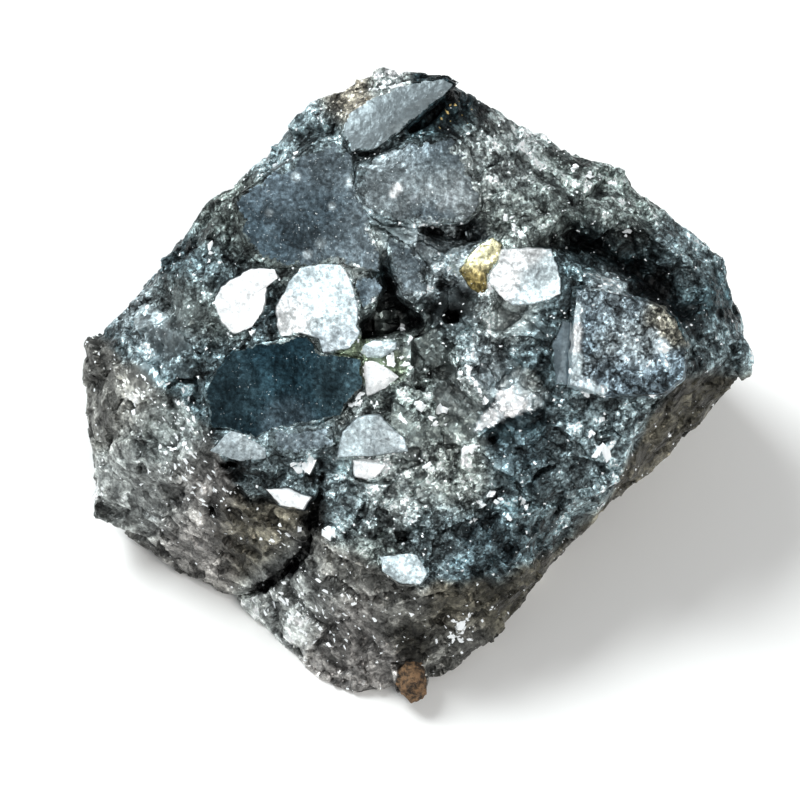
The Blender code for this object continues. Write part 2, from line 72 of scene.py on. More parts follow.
def vectors(items, field):
    """A mesh's vectors of one field, as an array with a row for each."""
    values = np.empty(len(items) * 3)
    items.foreach_get(field, values)
    return values.reshape(-1, 3)


def merged_places(name):
    """A node's separate corners on the face's axes: equal places are counted once."""
    places = vectors(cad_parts[name].data.vertices, "co")
    return np.unique(np.round(on_face(places), 3), axis=0)


def face_and_root(name):
    """The crystal's face corners and root corners, in order round their middle.

    The corners are sorted by height. The upper half belongs to the face, and each half is
    put in order by its angle round the half's middle."""
    places = merged_places(name)
    places = places[np.argsort(-places[:, 2])]
    half = len(places) // 2
    rings = []
    for ring in (places[:half], places[half:]):
        away = ring[:, :2] - ring[:, :2].mean(axis=0)
        rings.append(ring[np.argsort(np.arctan2(away[:, 1], away[:, 0]))])
    return rings


def spread(ring, margin):
    """The ring with each corner moved straight away from the middle by a margin."""
    middle = ring.mean(axis=0)
    away = ring[:, :2] - middle[:2]
    length = np.linalg.norm(away, axis=1, keepdims=True)
    moved = ring.copy()
    moved[:, :2] += away / length * margin
    return moved


def plane_through(ring):
    """The two slopes and the level of the plane that fits a ring best, by least squares."""
    return np.linalg.lstsq(np.column_stack([ring[:, :2], np.ones(len(ring))]), ring[:, 2], rcond=None)[0]


def closed_skin(rows):
    """Vertices and faces of a closed surface over rows of equally many points.

    Neighbouring rows are joined by quads, and the first and last row each close on their
    mean point by a fan."""
    count_rows, count, _ = rows.shape
    vertices = np.vstack([rows.reshape(-1, 3), rows[0].mean(axis=0), rows[-1].mean(axis=0)])
    here = np.arange(count)
    after = (here + 1) % count
    starts = np.arange(count_rows - 1)[:, None] * count
    quads = np.stack([
        starts + here, starts + after, starts + count + after, starts + count + here
    ], axis=-1).reshape(-1, 4)
    first_pole = count_rows * count
    last_row = (count_rows - 1) * count
    start_fan = np.stack([after, here, np.full(count, first_pole)], axis=-1)
    end_fan = np.stack([last_row + here, last_row + after, np.full(count, first_pole + 1)], axis=-1)
    return vertices, quads.tolist() + start_fan.tolist() + end_fan.tolist()


PLUG_SPREAD = 0.45  # mm: wider than the gap round each crystal
PLUG_DROP = 0.55  # mm that the ore lies below a crystal's face
CRYSTAL_NAMES = [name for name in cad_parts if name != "ore_body"]


def seat_filling(name):
    """A solid that fills a crystal's socket in the ore, to just below the crystal's face."""
    face, root = face_and_root(name)
    top = spread(face, PLUG_SPREAD) - [0.0, 0.0, PLUG_DROP]
    low = spread(root, PLUG_SPREAD) - [0.0, 0.0, PLUG_SPREAD]
    return closed_skin(np.stack([low, top]))


# ------------------------------
# Ore body: massive skutterudite, broken with a hammer. It is a felt of tiny metallic grains,
# so its skin is hackly, with flat steps of a few millimetres and grains standing out of them.

def chance(cells, salt):
    """A repeatable random number from 0 to 1 for each whole-number cell.

    The coordinates are multiplied by large odd numbers and mixed by shifts, in 32 bits."""
    whole = cells.astype(np.int64).astype(np.uint32)
    mixed = whole[..., 0] * np.uint32(73856093) ^ whole[..., 1] * np.uint32(19349663)
    mixed ^= whole[..., 2] * np.uint32(83492791) ^ np.uint32(salt * 1013904223 & 0xFFFFFFFF)
    for _ in range(2):
        mixed ^= mixed >> np.uint32(15)
        mixed *= np.uint32(2246822519)
        mixed ^= mixed >> np.uint32(13)
    return mixed / 4294967296.0


def swell(points, size, salt):
    """Smooth noise from -1 to 1: random values at the corners of cubes of the given size,
    blended across each cube by an eased share of the way. Each salt gives another pattern."""
    scaled = points / size
    low = np.floor(scaled)
    share = scaled - low
    eased = share * share * (3 - 2 * share)
    total = np.zeros(len(points))
    for corner in np.ndindex(2, 2, 2):
        weight = np.prod(np.where(corner, eased, 1 - eased), axis=1)
        total += weight * chance(low + corner, salt)
    return total * 2 - 1


def stirred(places, amount, size, salt):
    """The places moved by up to an amount along each axis, by smooth noise of the given size."""
    return places + amount * np.stack([swell(places, size, salt + axis) for axis in range(3)], axis=-1)


def hackles(points, size, salt, steepness):
    """Height, tone and grain of a surface broken into tilted flats, in units of their size.

    Space is scattered with one point to each cube of the given size. Every place belongs to
    its nearest point, lies on that point's own tilted plane, and shares its tone, from -0.5
    to 0.5, and its grain, from 0 to 1."""
    scaled = points / size
    home = np.floor(scaled)
    nearest = np.full(len(points), np.inf)
    height = np.zeros(len(points))
    tone = np.zeros(len(points))
    grain = np.zeros(len(points))
    for step in np.ndindex(3, 3, 3):
        cell = home + step - 1
        centre = cell + np.stack([chance(cell, salt + axis) for axis in range(3)], axis=-1)
        away = scaled - centre
        distance = (away ** 2).sum(axis=1)
        tilt = np.stack([chance(cell, salt + 3 + axis) for axis in range(3)], axis=-1) - 0.5
        plane = (away * tilt).sum(axis=1) * steepness + (chance(cell, salt + 6) - 0.5)
        closer = distance < nearest
        nearest = np.where(closer, distance, nearest)
        height = np.where(closer, plane, height)
        tone = np.where(closer, chance(cell, salt + 7) - 0.5, tone)
        grain = np.where(closer, chance(cell, salt + 8), grain)
    return height, tone, grain


def joined(meshes):
    """Several (vertices, faces) pairs as one."""
    vertices, faces, start = [], [], 0
    for places, corners in meshes:
        vertices.append(places)
        faces += [[start + index for index in face] for face in corners]
        start += len(places)
    return np.vstack(vertices), faces


def linked(name, content):
    """An object in the scene that holds a mesh, a light or a camera."""
    holder = bpy.data.objects.new(name, content)
    bpy.context.collection.objects.link(holder)
    return holder


def new_piece(name, places, faces):
    """A piece whose vertices are given on the face's axes, standing in the frame."""
    mesh = bpy.data.meshes.new(name)
    mesh.from_pydata(in_world(places).tolist(), [], faces)
    return linked(name, mesh)


def settled(piece):
    """Give the piece the mesh that its modifiers make, and drop them."""
    evaluated = piece.evaluated_get(bpy.context.evaluated_depsgraph_get())
    finished = bpy.data.meshes.new_from_object(evaluated)
    piece.modifiers.clear()
    piece.data = finished


def ore_copy():
    """The ore body's solid, with its loose triangles merged, as vertices and faces."""
    shape = bmesh.new()
    shape.from_mesh(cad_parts["ore_body"].data)
    bmesh.ops.remove_doubles(shape, verts=shape.verts, dist=0.002 * MM)
    places = on_face(np.array([vertex.co[:] for vertex in shape.verts]))
    faces = [[vertex.index for vertex in face.verts] for face in shape.faces]
    shape.free()
    return places, faces


def reach_to(places, ring):
    """Distance in mm across the face from each place to the ring's nearest side.

    On each side the nearest point lies at the share of the way that the place projects to,
    held between 0 and 1."""
    start = ring[:, :2]
    along = np.roll(start, -1, axis=0) - start
    away = places[:, None, :2] - start
    share = np.clip((away * along).sum(axis=2) / (along ** 2).sum(axis=1), 0, 1)
    return np.linalg.norm(away - along * share[..., None], axis=2).min(axis=1)


def within(places, ring):
    """Whether each place lies inside the ring, by whether a line to its right crosses an odd
    number of the ring's sides."""
    start = ring[:, :2]
    end = np.roll(start, -1, axis=0)
    across, up = places[:, :1], places[:, 1:2]
    straddles = (start[:, 1] > up) != (end[:, 1] > up)
    rise = np.where(end[:, 1] == start[:, 1], 1.0, end[:, 1] - start[:, 1])
    crossing = start[:, 0] + (up - start[:, 1]) * (end[:, 0] - start[:, 0]) / rise
    return (straddles & (across < crossing)).sum(axis=1) % 2 == 1


COLLAR = 1.1  # mm round a crystal over which the ore climbs to its edge
COLLAR_LAP = 0.22  # mm that the collar laps in over the crystal's border
COLLAR_DROP = 0.10  # mm that the collar stays below the crystal's face
COLLAR_DEPTH = 1.8  # mm below the face beyond which the ore is left alone, as in a hollow
COLLAR_SWAY, COLLAR_SWAY_SIZE = 0.2, 1.6  # how much it varies along the edge, over how many mm
NEAR_MARGIN = 1  # mm beyond an outline within which places are looked at
TILT_MARGIN = 2  # mm that a face's plane may rise or fall from its middle


def covering(places):
    """The number of the crystal whose border, a little widened, holds each place, or -1."""
    owner = np.full(len(places), -1)
    for number, name in enumerate(CRYSTAL_NAMES):
        ring = spread(face_and_root(name)[0], COLLAR_LAP)
        reach = np.ptp(ring[:, :2], axis=0) / 2 + NEAR_MARGIN
        near = np.flatnonzero(
            np.all(np.abs(places[:, :2] - ring[:, :2].mean(axis=0)) < reach, axis=1)
            & (places[:, 2] > ring[:, 2].min() - COLLAR_DEPTH)
        )
        owner[near[within(places[near], ring)]] = number
    return owner


def collared(places):
    """The places with the ore lifted to the crystals' edges, and how close each is to one.

    Under every crystal, the lift is the depth below its face's plane, times a share that
    falls from its outline to nothing over the collar and varies along it. Ore inside one
    crystal's border isn't lifted towards another. Closeness is 1 at an outline and under a face."""
    owner = covering(places)
    lifted = places.copy()
    closeness = np.zeros(len(places))
    for number, name in enumerate(CRYSTAL_NAMES):
        ring, _ = face_and_root(name)
        reach = np.ptp(ring[:, :2], axis=0) / 2 + COLLAR + NEAR_MARGIN
        near = np.all(np.abs(places[:, :2] - ring[:, :2].mean(axis=0)) < reach, axis=1)
        near &= np.abs(places[:, 2] - ring[:, 2].mean()) < COLLAR_DEPTH + TILT_MARGIN
        near = np.flatnonzero(near & ((owner == number) | (owner < 0)))
        some = lifted[near]
        plane = plane_through(ring)
        depth = some[:, :2] @ plane[:2] + plane[2] - COLLAR_DROP - some[:, 2]
        distance = reach_to(some, ring)
        hold = np.clip(1 - distance / np.where(owner[near] == number, COLLAR_LAP, COLLAR), 0, 1)
        sway = 1 - COLLAR_SWAY + COLLAR_SWAY * swell(some, COLLAR_SWAY_SIZE, 91)
        hold *= np.clip(1 - depth / COLLAR_DEPTH, 0, 1) * sway
        lifted[near, 2] += np.maximum(depth, 0) * hold
        closeness[near] = np.maximum(closeness[near], np.clip(1 - distance / COLLAR, 0, 1))
    return lifted, np.where(owner >= 0, 1.0, closeness)


ORE_VOXEL = 0.21  # mm
ORE_SHARE_KEPT = 0.57  # share of the skin's triangles that thinning leaves
# Flats of the broken surface: size in mm, height in mm, steepness, salt, share in the tone.
BREAKS = (
    (4.6, 0.80, 1.5, 5, 0.6), (2.2, 0.46, 1.6, 11, 0.9), (1.05, 0.22, 1.6, 23, 0.95),
    (0.5, 0.09, 1.4, 37, 0.5),
)
SIDE_SHARE = 0.45  # how much of the flats' height is left where the skin turns sideways
QUIET_BY_CRYSTALS = 0.7  # how much of the unevenness is lost beside a crystal
BASE_BAND = 0.5  # mm above the flat base that the roughness fades in over
# Parts with smooth flats: middle across and up, reach in mm, and the share of flats that are smooth.
SMOOTH_PARTS = (
    (1.0, 2.5, 11.0, 0.42), (-3.0, 12.0, 5.5, 0.9), (6.5, -1.0, 3.0, 1.0), (-19.5, 3.0, 4.5, 0.65),
)
SMOOTHNESS = 0.75  # how much of the grain a smooth flat loses
FLANK_GRAIN = 0.45  # how grainy the flanks are, beside the upper face
BREAK_WARP, BREAK_WARP_SIZE = 0.3, 1.3  # mm that the flats' borders wander, over how many mm


def broken(places):
    """The flats' heights and tones at each place, and the place's grain from 0 to 1.

    The second size's flats are smooth or grainy by chance, and smooth only in the smooth parts."""
    warped = stirred(places, BREAK_WARP, BREAK_WARP_SIZE, 71)
    heights, tones, grains = [], 0.0, []
    for size, height, steepness, salt, share in BREAKS:
        rise, tone, grain = hackles(warped, size, salt, steepness)
        heights.append(rise * height)
        tones = tones + tone * share
        grains.append(grain)
    smooth = np.zeros(len(places))
    for across, up, reach, share in SMOOTH_PARTS:
        away = np.hypot(places[:, 0] - across, places[:, 1] - up) / reach
        smooth = np.maximum(smooth, (grains[1] < share) * np.exp(-away ** 4))
    return heights, tones, 1 - SMOOTHNESS * smooth


ore = new_piece("ore_surface", *joined([ore_copy()] + [seat_filling(name) for name in CRYSTAL_NAMES]))
fuse = ore.modifiers.new("fuse", "REMESH")
fuse.mode = "VOXEL"
fuse.voxel_size = ORE_VOXEL * MM
settled(ore)

skin = vectors(ore.data.vertices, "co")
outwards = vectors(ore.data.vertex_normals, "vector")
places = on_face(skin)
places, closeness = collared(places)
skin = in_world(places)
face_on = np.clip((outwards @ TURN)[:, 2], 0, 1)
heights, _, grain = broken(places)
rise = (sum(heights[:2]) + sum(heights[2:]) * grain) * (SIDE_SHARE + (1 - SIDE_SHARE) * face_on)
rise *= (1 - QUIET_BY_CRYSTALS * closeness) * np.clip(skin[:, 2] / MM / BASE_BAND, 0, 1)
skin += outwards * rise[:, None] * MM
skin[:, 2] = np.maximum(skin[:, 2], 0)
ore.data.vertices.foreach_set("co", skin.ravel())
thin = ore.modifiers.new("thin", "DECIMATE")
thin.ratio = ORE_SHARE_KEPT
settled(ore)


def hollowness(piece):
    """How far each vertex lies below the mean of its neighbours, in mm for each mm of edge.

    For every edge the step to the neighbour is set against the vertex's normal, and the
    steps are averaged over the vertex's edges. The edges' ends and the number of edges that meet
    at each vertex are handed on for evening out."""
    mesh = piece.data
    where = vectors(mesh.vertices, "co")
    facing = vectors(mesh.vertex_normals, "vector")
    ends = np.empty(len(mesh.edges) * 2, dtype=np.int64)
    mesh.edges.foreach_get("vertices", ends)
    ends = ends.reshape(-1, 2)
    total = np.zeros(len(where))
    met = np.zeros(len(where))
    for here, there in ((ends[:, 0], ends[:, 1]), (ends[:, 1], ends[:, 0])):
        step = where[there] - where[here]
        length = np.linalg.norm(step, axis=1) + 1e-9
        total += np.bincount(here, (step * facing[here]).sum(axis=1) / length, len(where))
        met += np.bincount(here, minlength=len(where))
    return total / np.maximum(met, 1), ends, met


def evened(values, ends, met, passes):
    """Values averaged with their neighbours along the mesh's edges, so many times over."""
    for _ in range(passes):
        total = np.bincount(ends[:, 0], values[ends[:, 1]], len(values))
        total += np.bincount(ends[:, 1], values[ends[:, 0]], len(values))
        values = 0.5 * values + 0.5 * total / np.maximum(met, 1)
    return values


# The edge along which the upper face breaks off into the flanks, from the left round to the right.
FLANK_EDGE = (
    (-26, 5), (-24.7, 4.1), (-20, 0.2), (-15.8, -3.6), (-14.2, -6.8), (-12.8, -8.8), (-7.6, -8.8),
    (-6.8, -11.8), (0, -14.8), (3, -15.2), (6, -14.5), (10, -12.5), (14.5, -8.5), (15.5, -6),
    (17.2, -2.5), (19.5, 0.4), (21, 1), (26, 1.2),
)
FLANK_BLEND = 0.9  # mm over which the face's colour gives way to the flank's
FLANK_RAGGED = 0.5  # mm that the edge wanders

# The ore's tones, as red, green and blue.
STEEL = (0.14, 0.18, 0.19)
DARK_STEEL = (0.09, 0.125, 0.135)
BLUE_BLACK = (0.055, 0.08, 0.09)
TEAL_BLACK = (0.010, 0.019, 0.022)
DARK_OLIVE = (0.075, 0.088, 0.082)
GREY_OLIVE = (0.125, 0.145, 0.138)
GREEN_OLIVE = (0.10, 0.125, 0.085)
OLIVE = (0.18, 0.21, 0.20)
PALE_OLIVE = (0.25, 0.28, 0.265)
BLUE_PALE = (0.27, 0.32, 0.335)
FROST = (0.40, 0.45, 0.44)
SILVER = (0.62, 0.72, 0.74)
FAN_WHITE = (0.92, 0.98, 1.0)
BEIGE = (0.34, 0.31, 0.25)
STONE_GREY = (0.20, 0.20, 0.185)
BRIGHT_GREY = (0.34, 0.36, 0.35)
EARTH = (0.13, 0.13, 0.12)
MAUVE_GREY = (0.225, 0.215, 0.205)
BROWN = (0.095, 0.088, 0.068)
DARK_BROWN = (0.045, 0.042, 0.032)

# Patches of those tones: middle across and up the face, reach, and tone.
FACE_PATCHES = (
    (-17, 9, 2.5, BLUE_BLACK), (-15, 12, 2.5, DARK_OLIVE), (-9, 19, 2.5, STEEL),
    (-5.2, 21.9, 1.4, BEIGE), (-2.9, 22.4, 0.7, FROST), (3, 20.3, 1.6, TEAL_BLACK), (6, 17, 2.2, FROST),
    (10.5, 15, 2.5, GREY_OLIVE), (15, 13.5, 2.2, OLIVE), (20, 9.8, 2, STEEL),
    # The teal-black patches from (22.5, 6.5) to (13, 11) are painted shade in the trough on the right.
    (22.5, 6.5, 2.1, TEAL_BLACK), (23.6, 2.8, 2, STEEL), (8, 12.6, 1.8, GREY_OLIVE),
    (13, 11, 1.2, TEAL_BLACK), (15.6, 9.5, 1.8, TEAL_BLACK), (19, 7, 1.9, TEAL_BLACK),
    (11.8, 9, 1, DARK_STEEL), (14.2, 7.4, 0.9, BLUE_PALE), (2.4, 9.3, 1.6, BLUE_PALE),
    (-2.5, 11.4, 1.2, STEEL), (3, 4.5, 1.6, STEEL), (6, 5, 1.6, FROST), (8.4, 3, 2, DARK_STEEL),
    (5, 2, 1.2, BLUE_PALE), (1, 2.5, 1.5, OLIVE), (2.4, -0.6, 1, FROST), (-3.6, 10.5, 0.9, FROST),
    (-2.6, 9.2, 0.7, TEAL_BLACK), (-4, 13.6, 1.2, BLUE_PALE), (-4.2, 16.4, 1.2, STEEL),
    (-0.6, 10.2, 1.2, BLUE_PALE), (-1.8, 1.5, 0.5, GREEN_OLIVE), (-4.6, 1.9, 0.5, GREEN_OLIVE),
    (6.2, -3.6, 0.8, TEAL_BLACK), (8.6, -3.4, 0.8, TEAL_BLACK), (8, -5, 2, BLUE_BLACK),
    (12, -5, 2, STEEL), (8, -9, 2, DARK_STEEL), (12, -8, 2, STEEL), (5, -12, 2.2, BLUE_BLACK),
    (-2, -8, 2, FROST), (2, -7, 2, PALE_OLIVE), (-5, -9.5, 2, STEEL), (1, -10.5, 1.8, STEEL),
    (-4, -12.5, 1.6, OLIVE), (1, -2.4, 1.5, OLIVE), (-11, -6.8, 1.8, STEEL), (-23, 1.5, 2, DARK_STEEL),
    (-20, 4, 2, BLUE_PALE), (-18, 1, 2, DARK_STEEL), (-17.5, 6, 1.8, OLIVE),
)
# The flanks' browner, darker tones are partly the ore's own and partly painted light: warm reflection and
# shade on sides facing down, away from the window.
FLANK_PATCHES = (
    (-22, -2, 2, STONE_GREY), (-19, -4, 2.2, FROST), (-17, -7, 2.2, MAUVE_GREY),
    (-20.5, -8, 2.4, BRIGHT_GREY), (-13, -11, 2, BROWN), (-17, -12, 2, MAUVE_GREY),
    (-9, -16, 2.2, BRIGHT_GREY), (-6, -14, 2, STONE_GREY), (-5, -18, 2.2, MAUVE_GREY),
    (-2, -17, 1.8, STONE_GREY), (-5, -21, 2, MAUVE_GREY), (-0.8, -18.8, 1, DARK_BROWN),
    (3, -17, 1.8, BROWN), (6, -16, 1.8, DARK_BROWN), (3, -19.6, 1.4, STONE_GREY),
    (9, -13.8, 1.6, DARK_BROWN), (17, -5, 2, BROWN), (20, -1.5, 2, DARK_BROWN),
)
BACK_COLOUR = EARTH
BACK_LEVEL = -11.0  # mm out of the face, below which the patches give way to the back's colour
BACK_BLEND = 4.0  # mm over which they give way
BACK_TURN = 0.25  # how far the skin has turned away where the back's colour has taken over
FLANK_LEVEL = 0.8  # brightness of the flanks beside the upper face, lowered partly as painted shade
PATCH_LIMIT = 16  # squares of its reach, beyond which a patch's weight falls no more

# The broken end of a crystal, which opens like a fan over its hollow. Its white and silver tones are
# painted highlight for a patch that glints.
FAN = np.array([
    (4.0, -3.5), (4.6, -2.4), (5.6, -1.2), (6.3, 0.3), (7.4, 1.4), (8.6, 1.0), (9.6, -0.6),
    (9.2, -1.7), (7.0, -2.3), (5.2, -3.1),
])
FAN_TONES = (
    (4.6, -2.9, 0.8, FAN_WHITE), (6, -1.3, 0.7, FAN_WHITE), (7.2, 0, 0.6, SILVER),
    (7.6, -1.4, 0.7, FAN_WHITE), (8.4, 0.4, 0.8, FROST), (9, -1.4, 0.6, SILVER),
)

FAN_RAGGED = 0.1  # mm that the fan's outline wanders

# Hollows, ledges and the crevice painted dark as shade: middle across and up the face, reach, and strength.
SHADED_HOLLOWS = (
    (-3.8, 4.3, 1.2, 1), (-2.6, 6.9, 0.9, 1), (-1.2, 4.8, 1.3, 1), (2.4, 5.3, 0.9, 1),
    (3.9, 11.4, 1.2, 0.95), (1, 11.3, 0.6, 0.9), (-3.3, 17.3, 0.5, 0.8), (-1.3, 18.7, 0.5, 0.9),
    (0.6, 20.1, 0.5, 0.9), (2.2, 21.7, 0.5, 0.9), (-7.6, -7.2, 1, 0.9), (-7.6, -9, 1, 1),
    (-8, -10.4, 1, 1), (-8.6, -12.2, 1.05, 1), (-9.8, -13.8, 1.05, 1), (-11, -14.8, 0.9, 1),
    (-12.4, -15.3, 0.8, 1), (-14, -6, 1, 1), (-15.7, -9.3, 0.8, 1), (5.2, -4.2, 0.6, 1),
    (0.8, 5.8, 0.9, 1), (1.7, 7.3, 0.6, 0.9), (3.3, 6.8, 0.6, 0.9), (-1.5, -11.6, 1.1, 0.75),
    (12.6, -1.1, 0.55, 0.8), (13, 10.8, 1.5, 0.6), (15.6, 9.3, 1.7, 0.3), (18, 7.6, 1.6, 0.8),
    (20, 5.6, 1, 0.8), (-2.5, -0.1, 0.45, 0.9), (-6.5, 1.9, 0.4, 0.9), (6.4, 7, 0.5, 0.7),
    (11, 6.4, 0.6, 0.7), (-11.4, 4, 0.5, 0.8), (-0.6, -19.3, 0.9, 0.7), (-6.3, 19.3, 0.6, 0.8),
)
SHADE_CORE = 1.6  # strength at a hollow's middle, where it is held to 1
SHADE_FALL = 1.1  # how much of it each reach from the middle takes away
SHADE_RAGGED = 0.35  # mm that a hollow's outline wanders


def patched(places, patches):
    """Each place's colour from a list of patches: their colours, weighted by nearness."""
    total = np.zeros((len(places), 3))
    weight = np.full(len(places), 1e-9)
    for across, up, reach, colour in patches:
        away = (places[:, 0] - across) ** 2 + (places[:, 1] - up) ** 2
        near = np.exp(-np.minimum(away / reach ** 2, PATCH_LIMIT)) / reach
        total += near[:, None] * colour
        weight += near
    return total / weight[:, None]


def blended(first, second, share):
    """Two sets of colours, each row mixed by its own share of the second."""
    return first * (1 - share[:, None]) + second * share[:, None]


def flank_share(places):
    """1 on the flanks and 0 on the upper face, with a ragged blend at the edge between them."""
    edge = np.interp(places[:, 0], *zip(*FLANK_EDGE)) + FLANK_RAGGED * swell(places, 1.5, 81)
    return np.clip((edge - places[:, 1]) / FLANK_BLEND + 0.5, 0, 1)


def patch_colours(places, facing=None):
    """Each place's grain colour: the face's patches and the fan, below the edge the flanks', and
    the back's where the skin is low or turns away, with a facing below 0."""
    in_fan = within(stirred(places, FAN_RAGGED, 0.5, 85), FAN).astype(float)
    upper = blended(patched(places, FACE_PATCHES), patched(places, FAN_TONES), in_fan)
    front = blended(upper, patched(places, FLANK_PATCHES), flank_share(places))
    behind = np.clip((BACK_LEVEL - places[:, 2]) / BACK_BLEND, 0, 1)
    if facing is not None:
        behind = np.maximum(behind, np.clip(-facing / BACK_TURN, 0, 1))
    return blended(front, np.array(BACK_COLOUR), behind)


def hollow_shading(places):
    """How dark each place is painted as shade, from 0 to 1: the strongest of the hollows' fading reach."""
    ragged = stirred(places, SHADE_RAGGED, 0.9, 83)
    # What builds up here is painted shade.
    dust = np.zeros(len(places))
    for across, up, reach, strength in SHADED_HOLLOWS:
        away = np.hypot(ragged[:, 0] - across, ragged[:, 1] - up) / reach
        dust = np.maximum(dust, strength * np.clip(SHADE_CORE - SHADE_FALL * away, 0, 1))
    return np.where(places[:, 2] > BACK_LEVEL, dust, 0.0)


def add_attribute(piece, name, values):
    """Store one number or one colour for each vertex under a name that materials read."""
    if values.ndim == 1:
        layer = piece.data.attributes.new(name, "FLOAT", "POINT")
        layer.data.foreach_set("value", values.astype(np.float32))
    else:
        layer = piece.data.attributes.new(name, "FLOAT_COLOR", "POINT")
        filled = np.hstack([values, np.ones((len(values), 1))])
        layer.data.foreach_set("color", filled.astype(np.float32).ravel())


TONE_SPREAD = 1.35  # powers of e that the flats' tones reach over
# Painted shade in a crevice and a wide hollow: its darkness in powers of e for each unit of hollowness, the
# most hollowness that counts, and the evening passes that tell one. A ridge is lighter by its share, as
# painted highlight.
CREVICE_SHADE, CREVICE_LIMIT, CREVICE_PASSES = 5.0, 0.5, 3
HOLLOW_SHADE, HOLLOW_LIMIT, HOLLOW_PASSES = 4.0, 0.3, 14
RIDGE_LIGHT, RIDGE_LIMIT = 2.2, 0.3
FACING_PASSES = 12
# How far the painted shade in those hollows darkens at full strength.
PAINTED_SHADE_DARKNESS = 0.94
sunk, ends, met = hollowness(ore)
deep = evened(sunk, ends, met, CREVICE_PASSES)
deeper = evened(sunk, ends, met, HOLLOW_PASSES)
places = on_face(vectors(ore.data.vertices, "co"))
_, tones, grain = broken(places)
powers = TONE_SPREAD * tones - CREVICE_SHADE * np.clip(deep, 0, CREVICE_LIMIT)
shade = np.exp(powers - HOLLOW_SHADE * np.clip(deeper, 0, HOLLOW_LIMIT))
shade *= 1 + RIDGE_LIGHT * np.clip(-deep, 0, RIDGE_LIMIT)
# Painted shade over the listed hollows, ledges and crevice.
shade *= 1 - PAINTED_SHADE_DARKNESS * hollow_shading(places)
shade *= 1 - (1 - FLANK_LEVEL) * flank_share(places)
ore_facing = vectors(ore.data.vertex_normals, "vector") @ TURN
facing = evened(ore_facing[:, 2], ends, met, FACING_PASSES)
add_attribute(ore, "patch", np.minimum(patch_colours(places, facing) * shade[:, None], 1.0))
add_attribute(ore, "grain", grain * (1 - (1 - FLANK_GRAIN) * flank_share(places)))


class Reading:
    """An output of a material's nodes. Reckoning with it adds Math nodes to that material."""

    def __init__(self, finish, socket):
        self.finish = finish
        self.socket = socket

    def __add__(self, other):
        return self.finish.math("ADD", self, other)

    def __sub__(self, other):
        return self.finish.math("SUBTRACT", self, other)

    def __rsub__(self, other):
        return self.finish.math("SUBTRACT", other, self)

    def __mul__(self, other):
        return self.finish.math("MULTIPLY", self, other)

    def __pow__(self, other):
        return self.finish.math("POWER", self, other)

    __radd__ = __add__
    __rmul__ = __mul__


class Finish:
    """A material round one Principled shader, put together node by node."""

    def __init__(self, name):
        self.material = bpy.data.materials.new(name)
        self.material.use_nodes = True
        self.tree = self.material.node_tree
        self.shader = self.tree.nodes["Principled BSDF"]

    def feed(self, socket, value):
        """Link a reading to a socket, or set the socket to a constant."""
        if isinstance(value, Reading):
            self.tree.links.new(value.socket, socket)
        else:
            socket.default_value = value

    def add(self, kind, settings=None, values=None, output=0):
        """A node of this kind with its settings, then its sockets' values or links."""
        node = self.tree.nodes.new(kind)
        for name, setting in (settings or {}).items():
            setattr(node, name, setting)
        for place, value in (values or {}).items():
            self.feed(node.inputs[place], value)
        return Reading(self, node.outputs[output])

    def math(self, operation, *values):
        """The named operation on numbers."""
        return self.add("ShaderNodeMath", {"operation": operation}, dict(enumerate(values)))

    def vector(self, operation, *values):
        """The named operation on directions or places."""
        return self.add("ShaderNodeVectorMath", {"operation": operation}, dict(enumerate(values)))

    def mix(self, share, first, second, blend="MIX"):
        """Two colours mixed by a share of the second."""
        settings = {"data_type": "RGBA", "blend_type": blend, "clamp_result": True}
        return self.add("ShaderNodeMix", settings, {0: share, 6: first, 7: second}, output=2)

    def mixed_vector(self, share, first, second):
        """Two directions mixed by a share of the second."""
        return self.add("ShaderNodeMix", {"data_type": "VECTOR"}, {0: share, 4: first, 5: second}, output=1)

    def between(self, value, low, high):
        """0 up to the low value, 1 from the high one, and an eased rise between them."""
        values = {"Value": value, "From Min": low, "From Max": high}
        return self.add("ShaderNodeMapRange", {"interpolation_type": "SMOOTHSTEP"}, values)

    def place(self):
        """The place on the piece, in metres."""
        return self.add("ShaderNodeTexCoord", output="Object")

    def noise(self, place, size, detail=4.0, roughness=0.6):
        """Cloudy noise whose clouds are about this many millimetres across."""
        values = {"Vector": place, "Scale": 1 / (size * MM), "Detail": detail, "Roughness": roughness}
        return self.add("ShaderNodeTexNoise", None, values)

    def grains(self, place, size, output):
        """Cells about this many millimetres across: their distance, colour or position."""
        values = {"Vector": place, "Scale": 1 / (size * MM)}
        return self.add("ShaderNodeTexVoronoi", None, values, output)

    def attribute(self, name, output):
        """What the piece's vertices store under a name: its "Color", or its number, "Fac"."""
        return self.add("ShaderNodeAttribute", {"attribute_name": name}, None, output)

    def channel(self, colour):
        """A colour's red channel, which is one random number for each cell."""
        return self.add("ShaderNodeSeparateColor", None, {"Color": colour})

    def glinting(self, cell_colour, tilt, normal):
        """The normal with each grain's own random tilt added, so that grains glint in turn."""
        centred = self.vector("SUBTRACT", cell_colour, (0.5, 0.5, 0.5))
        tilted = self.vector("MULTIPLY", centred, (tilt, tilt, tilt))
        return self.vector("NORMALIZE", self.vector("ADD", normal, tilted))

    def bump(self, height, distance):
        """The normal of a relief that is a distance in mm high where its height is 1."""
        values = {"Height": height, "Distance": distance * MM, "Strength": 1.0}
        return self.add("ShaderNodeBump", None, values)

    def surface(self, **values):
        """Feed the shader's sockets: their names with underscores for spaces."""
        for name, value in values.items():
            self.feed(self.shader.inputs[name.replace("_", " ")], value)
        return self.material


# In mm: the finest grains, clumps of them, clouds, the gaps between crevices, grains that tilt
# together, how far the cells are pushed about, and the relief's height.
FINE_CELL, CLUMP_CELL, CLOUD_SIZE, CREVICE_CELL, GLINT_CELL = 0.16, 0.42, 1.9, 0.95, 0.34
FELT_WARP, FELT_RELIEF = 0.3, 0.16
FELT_LEVEL = 1.12  # brightness that makes up for what the crevices' painted shade takes
FELT_TILT = 0.6
ORE_ROUGHNESS = 0.42


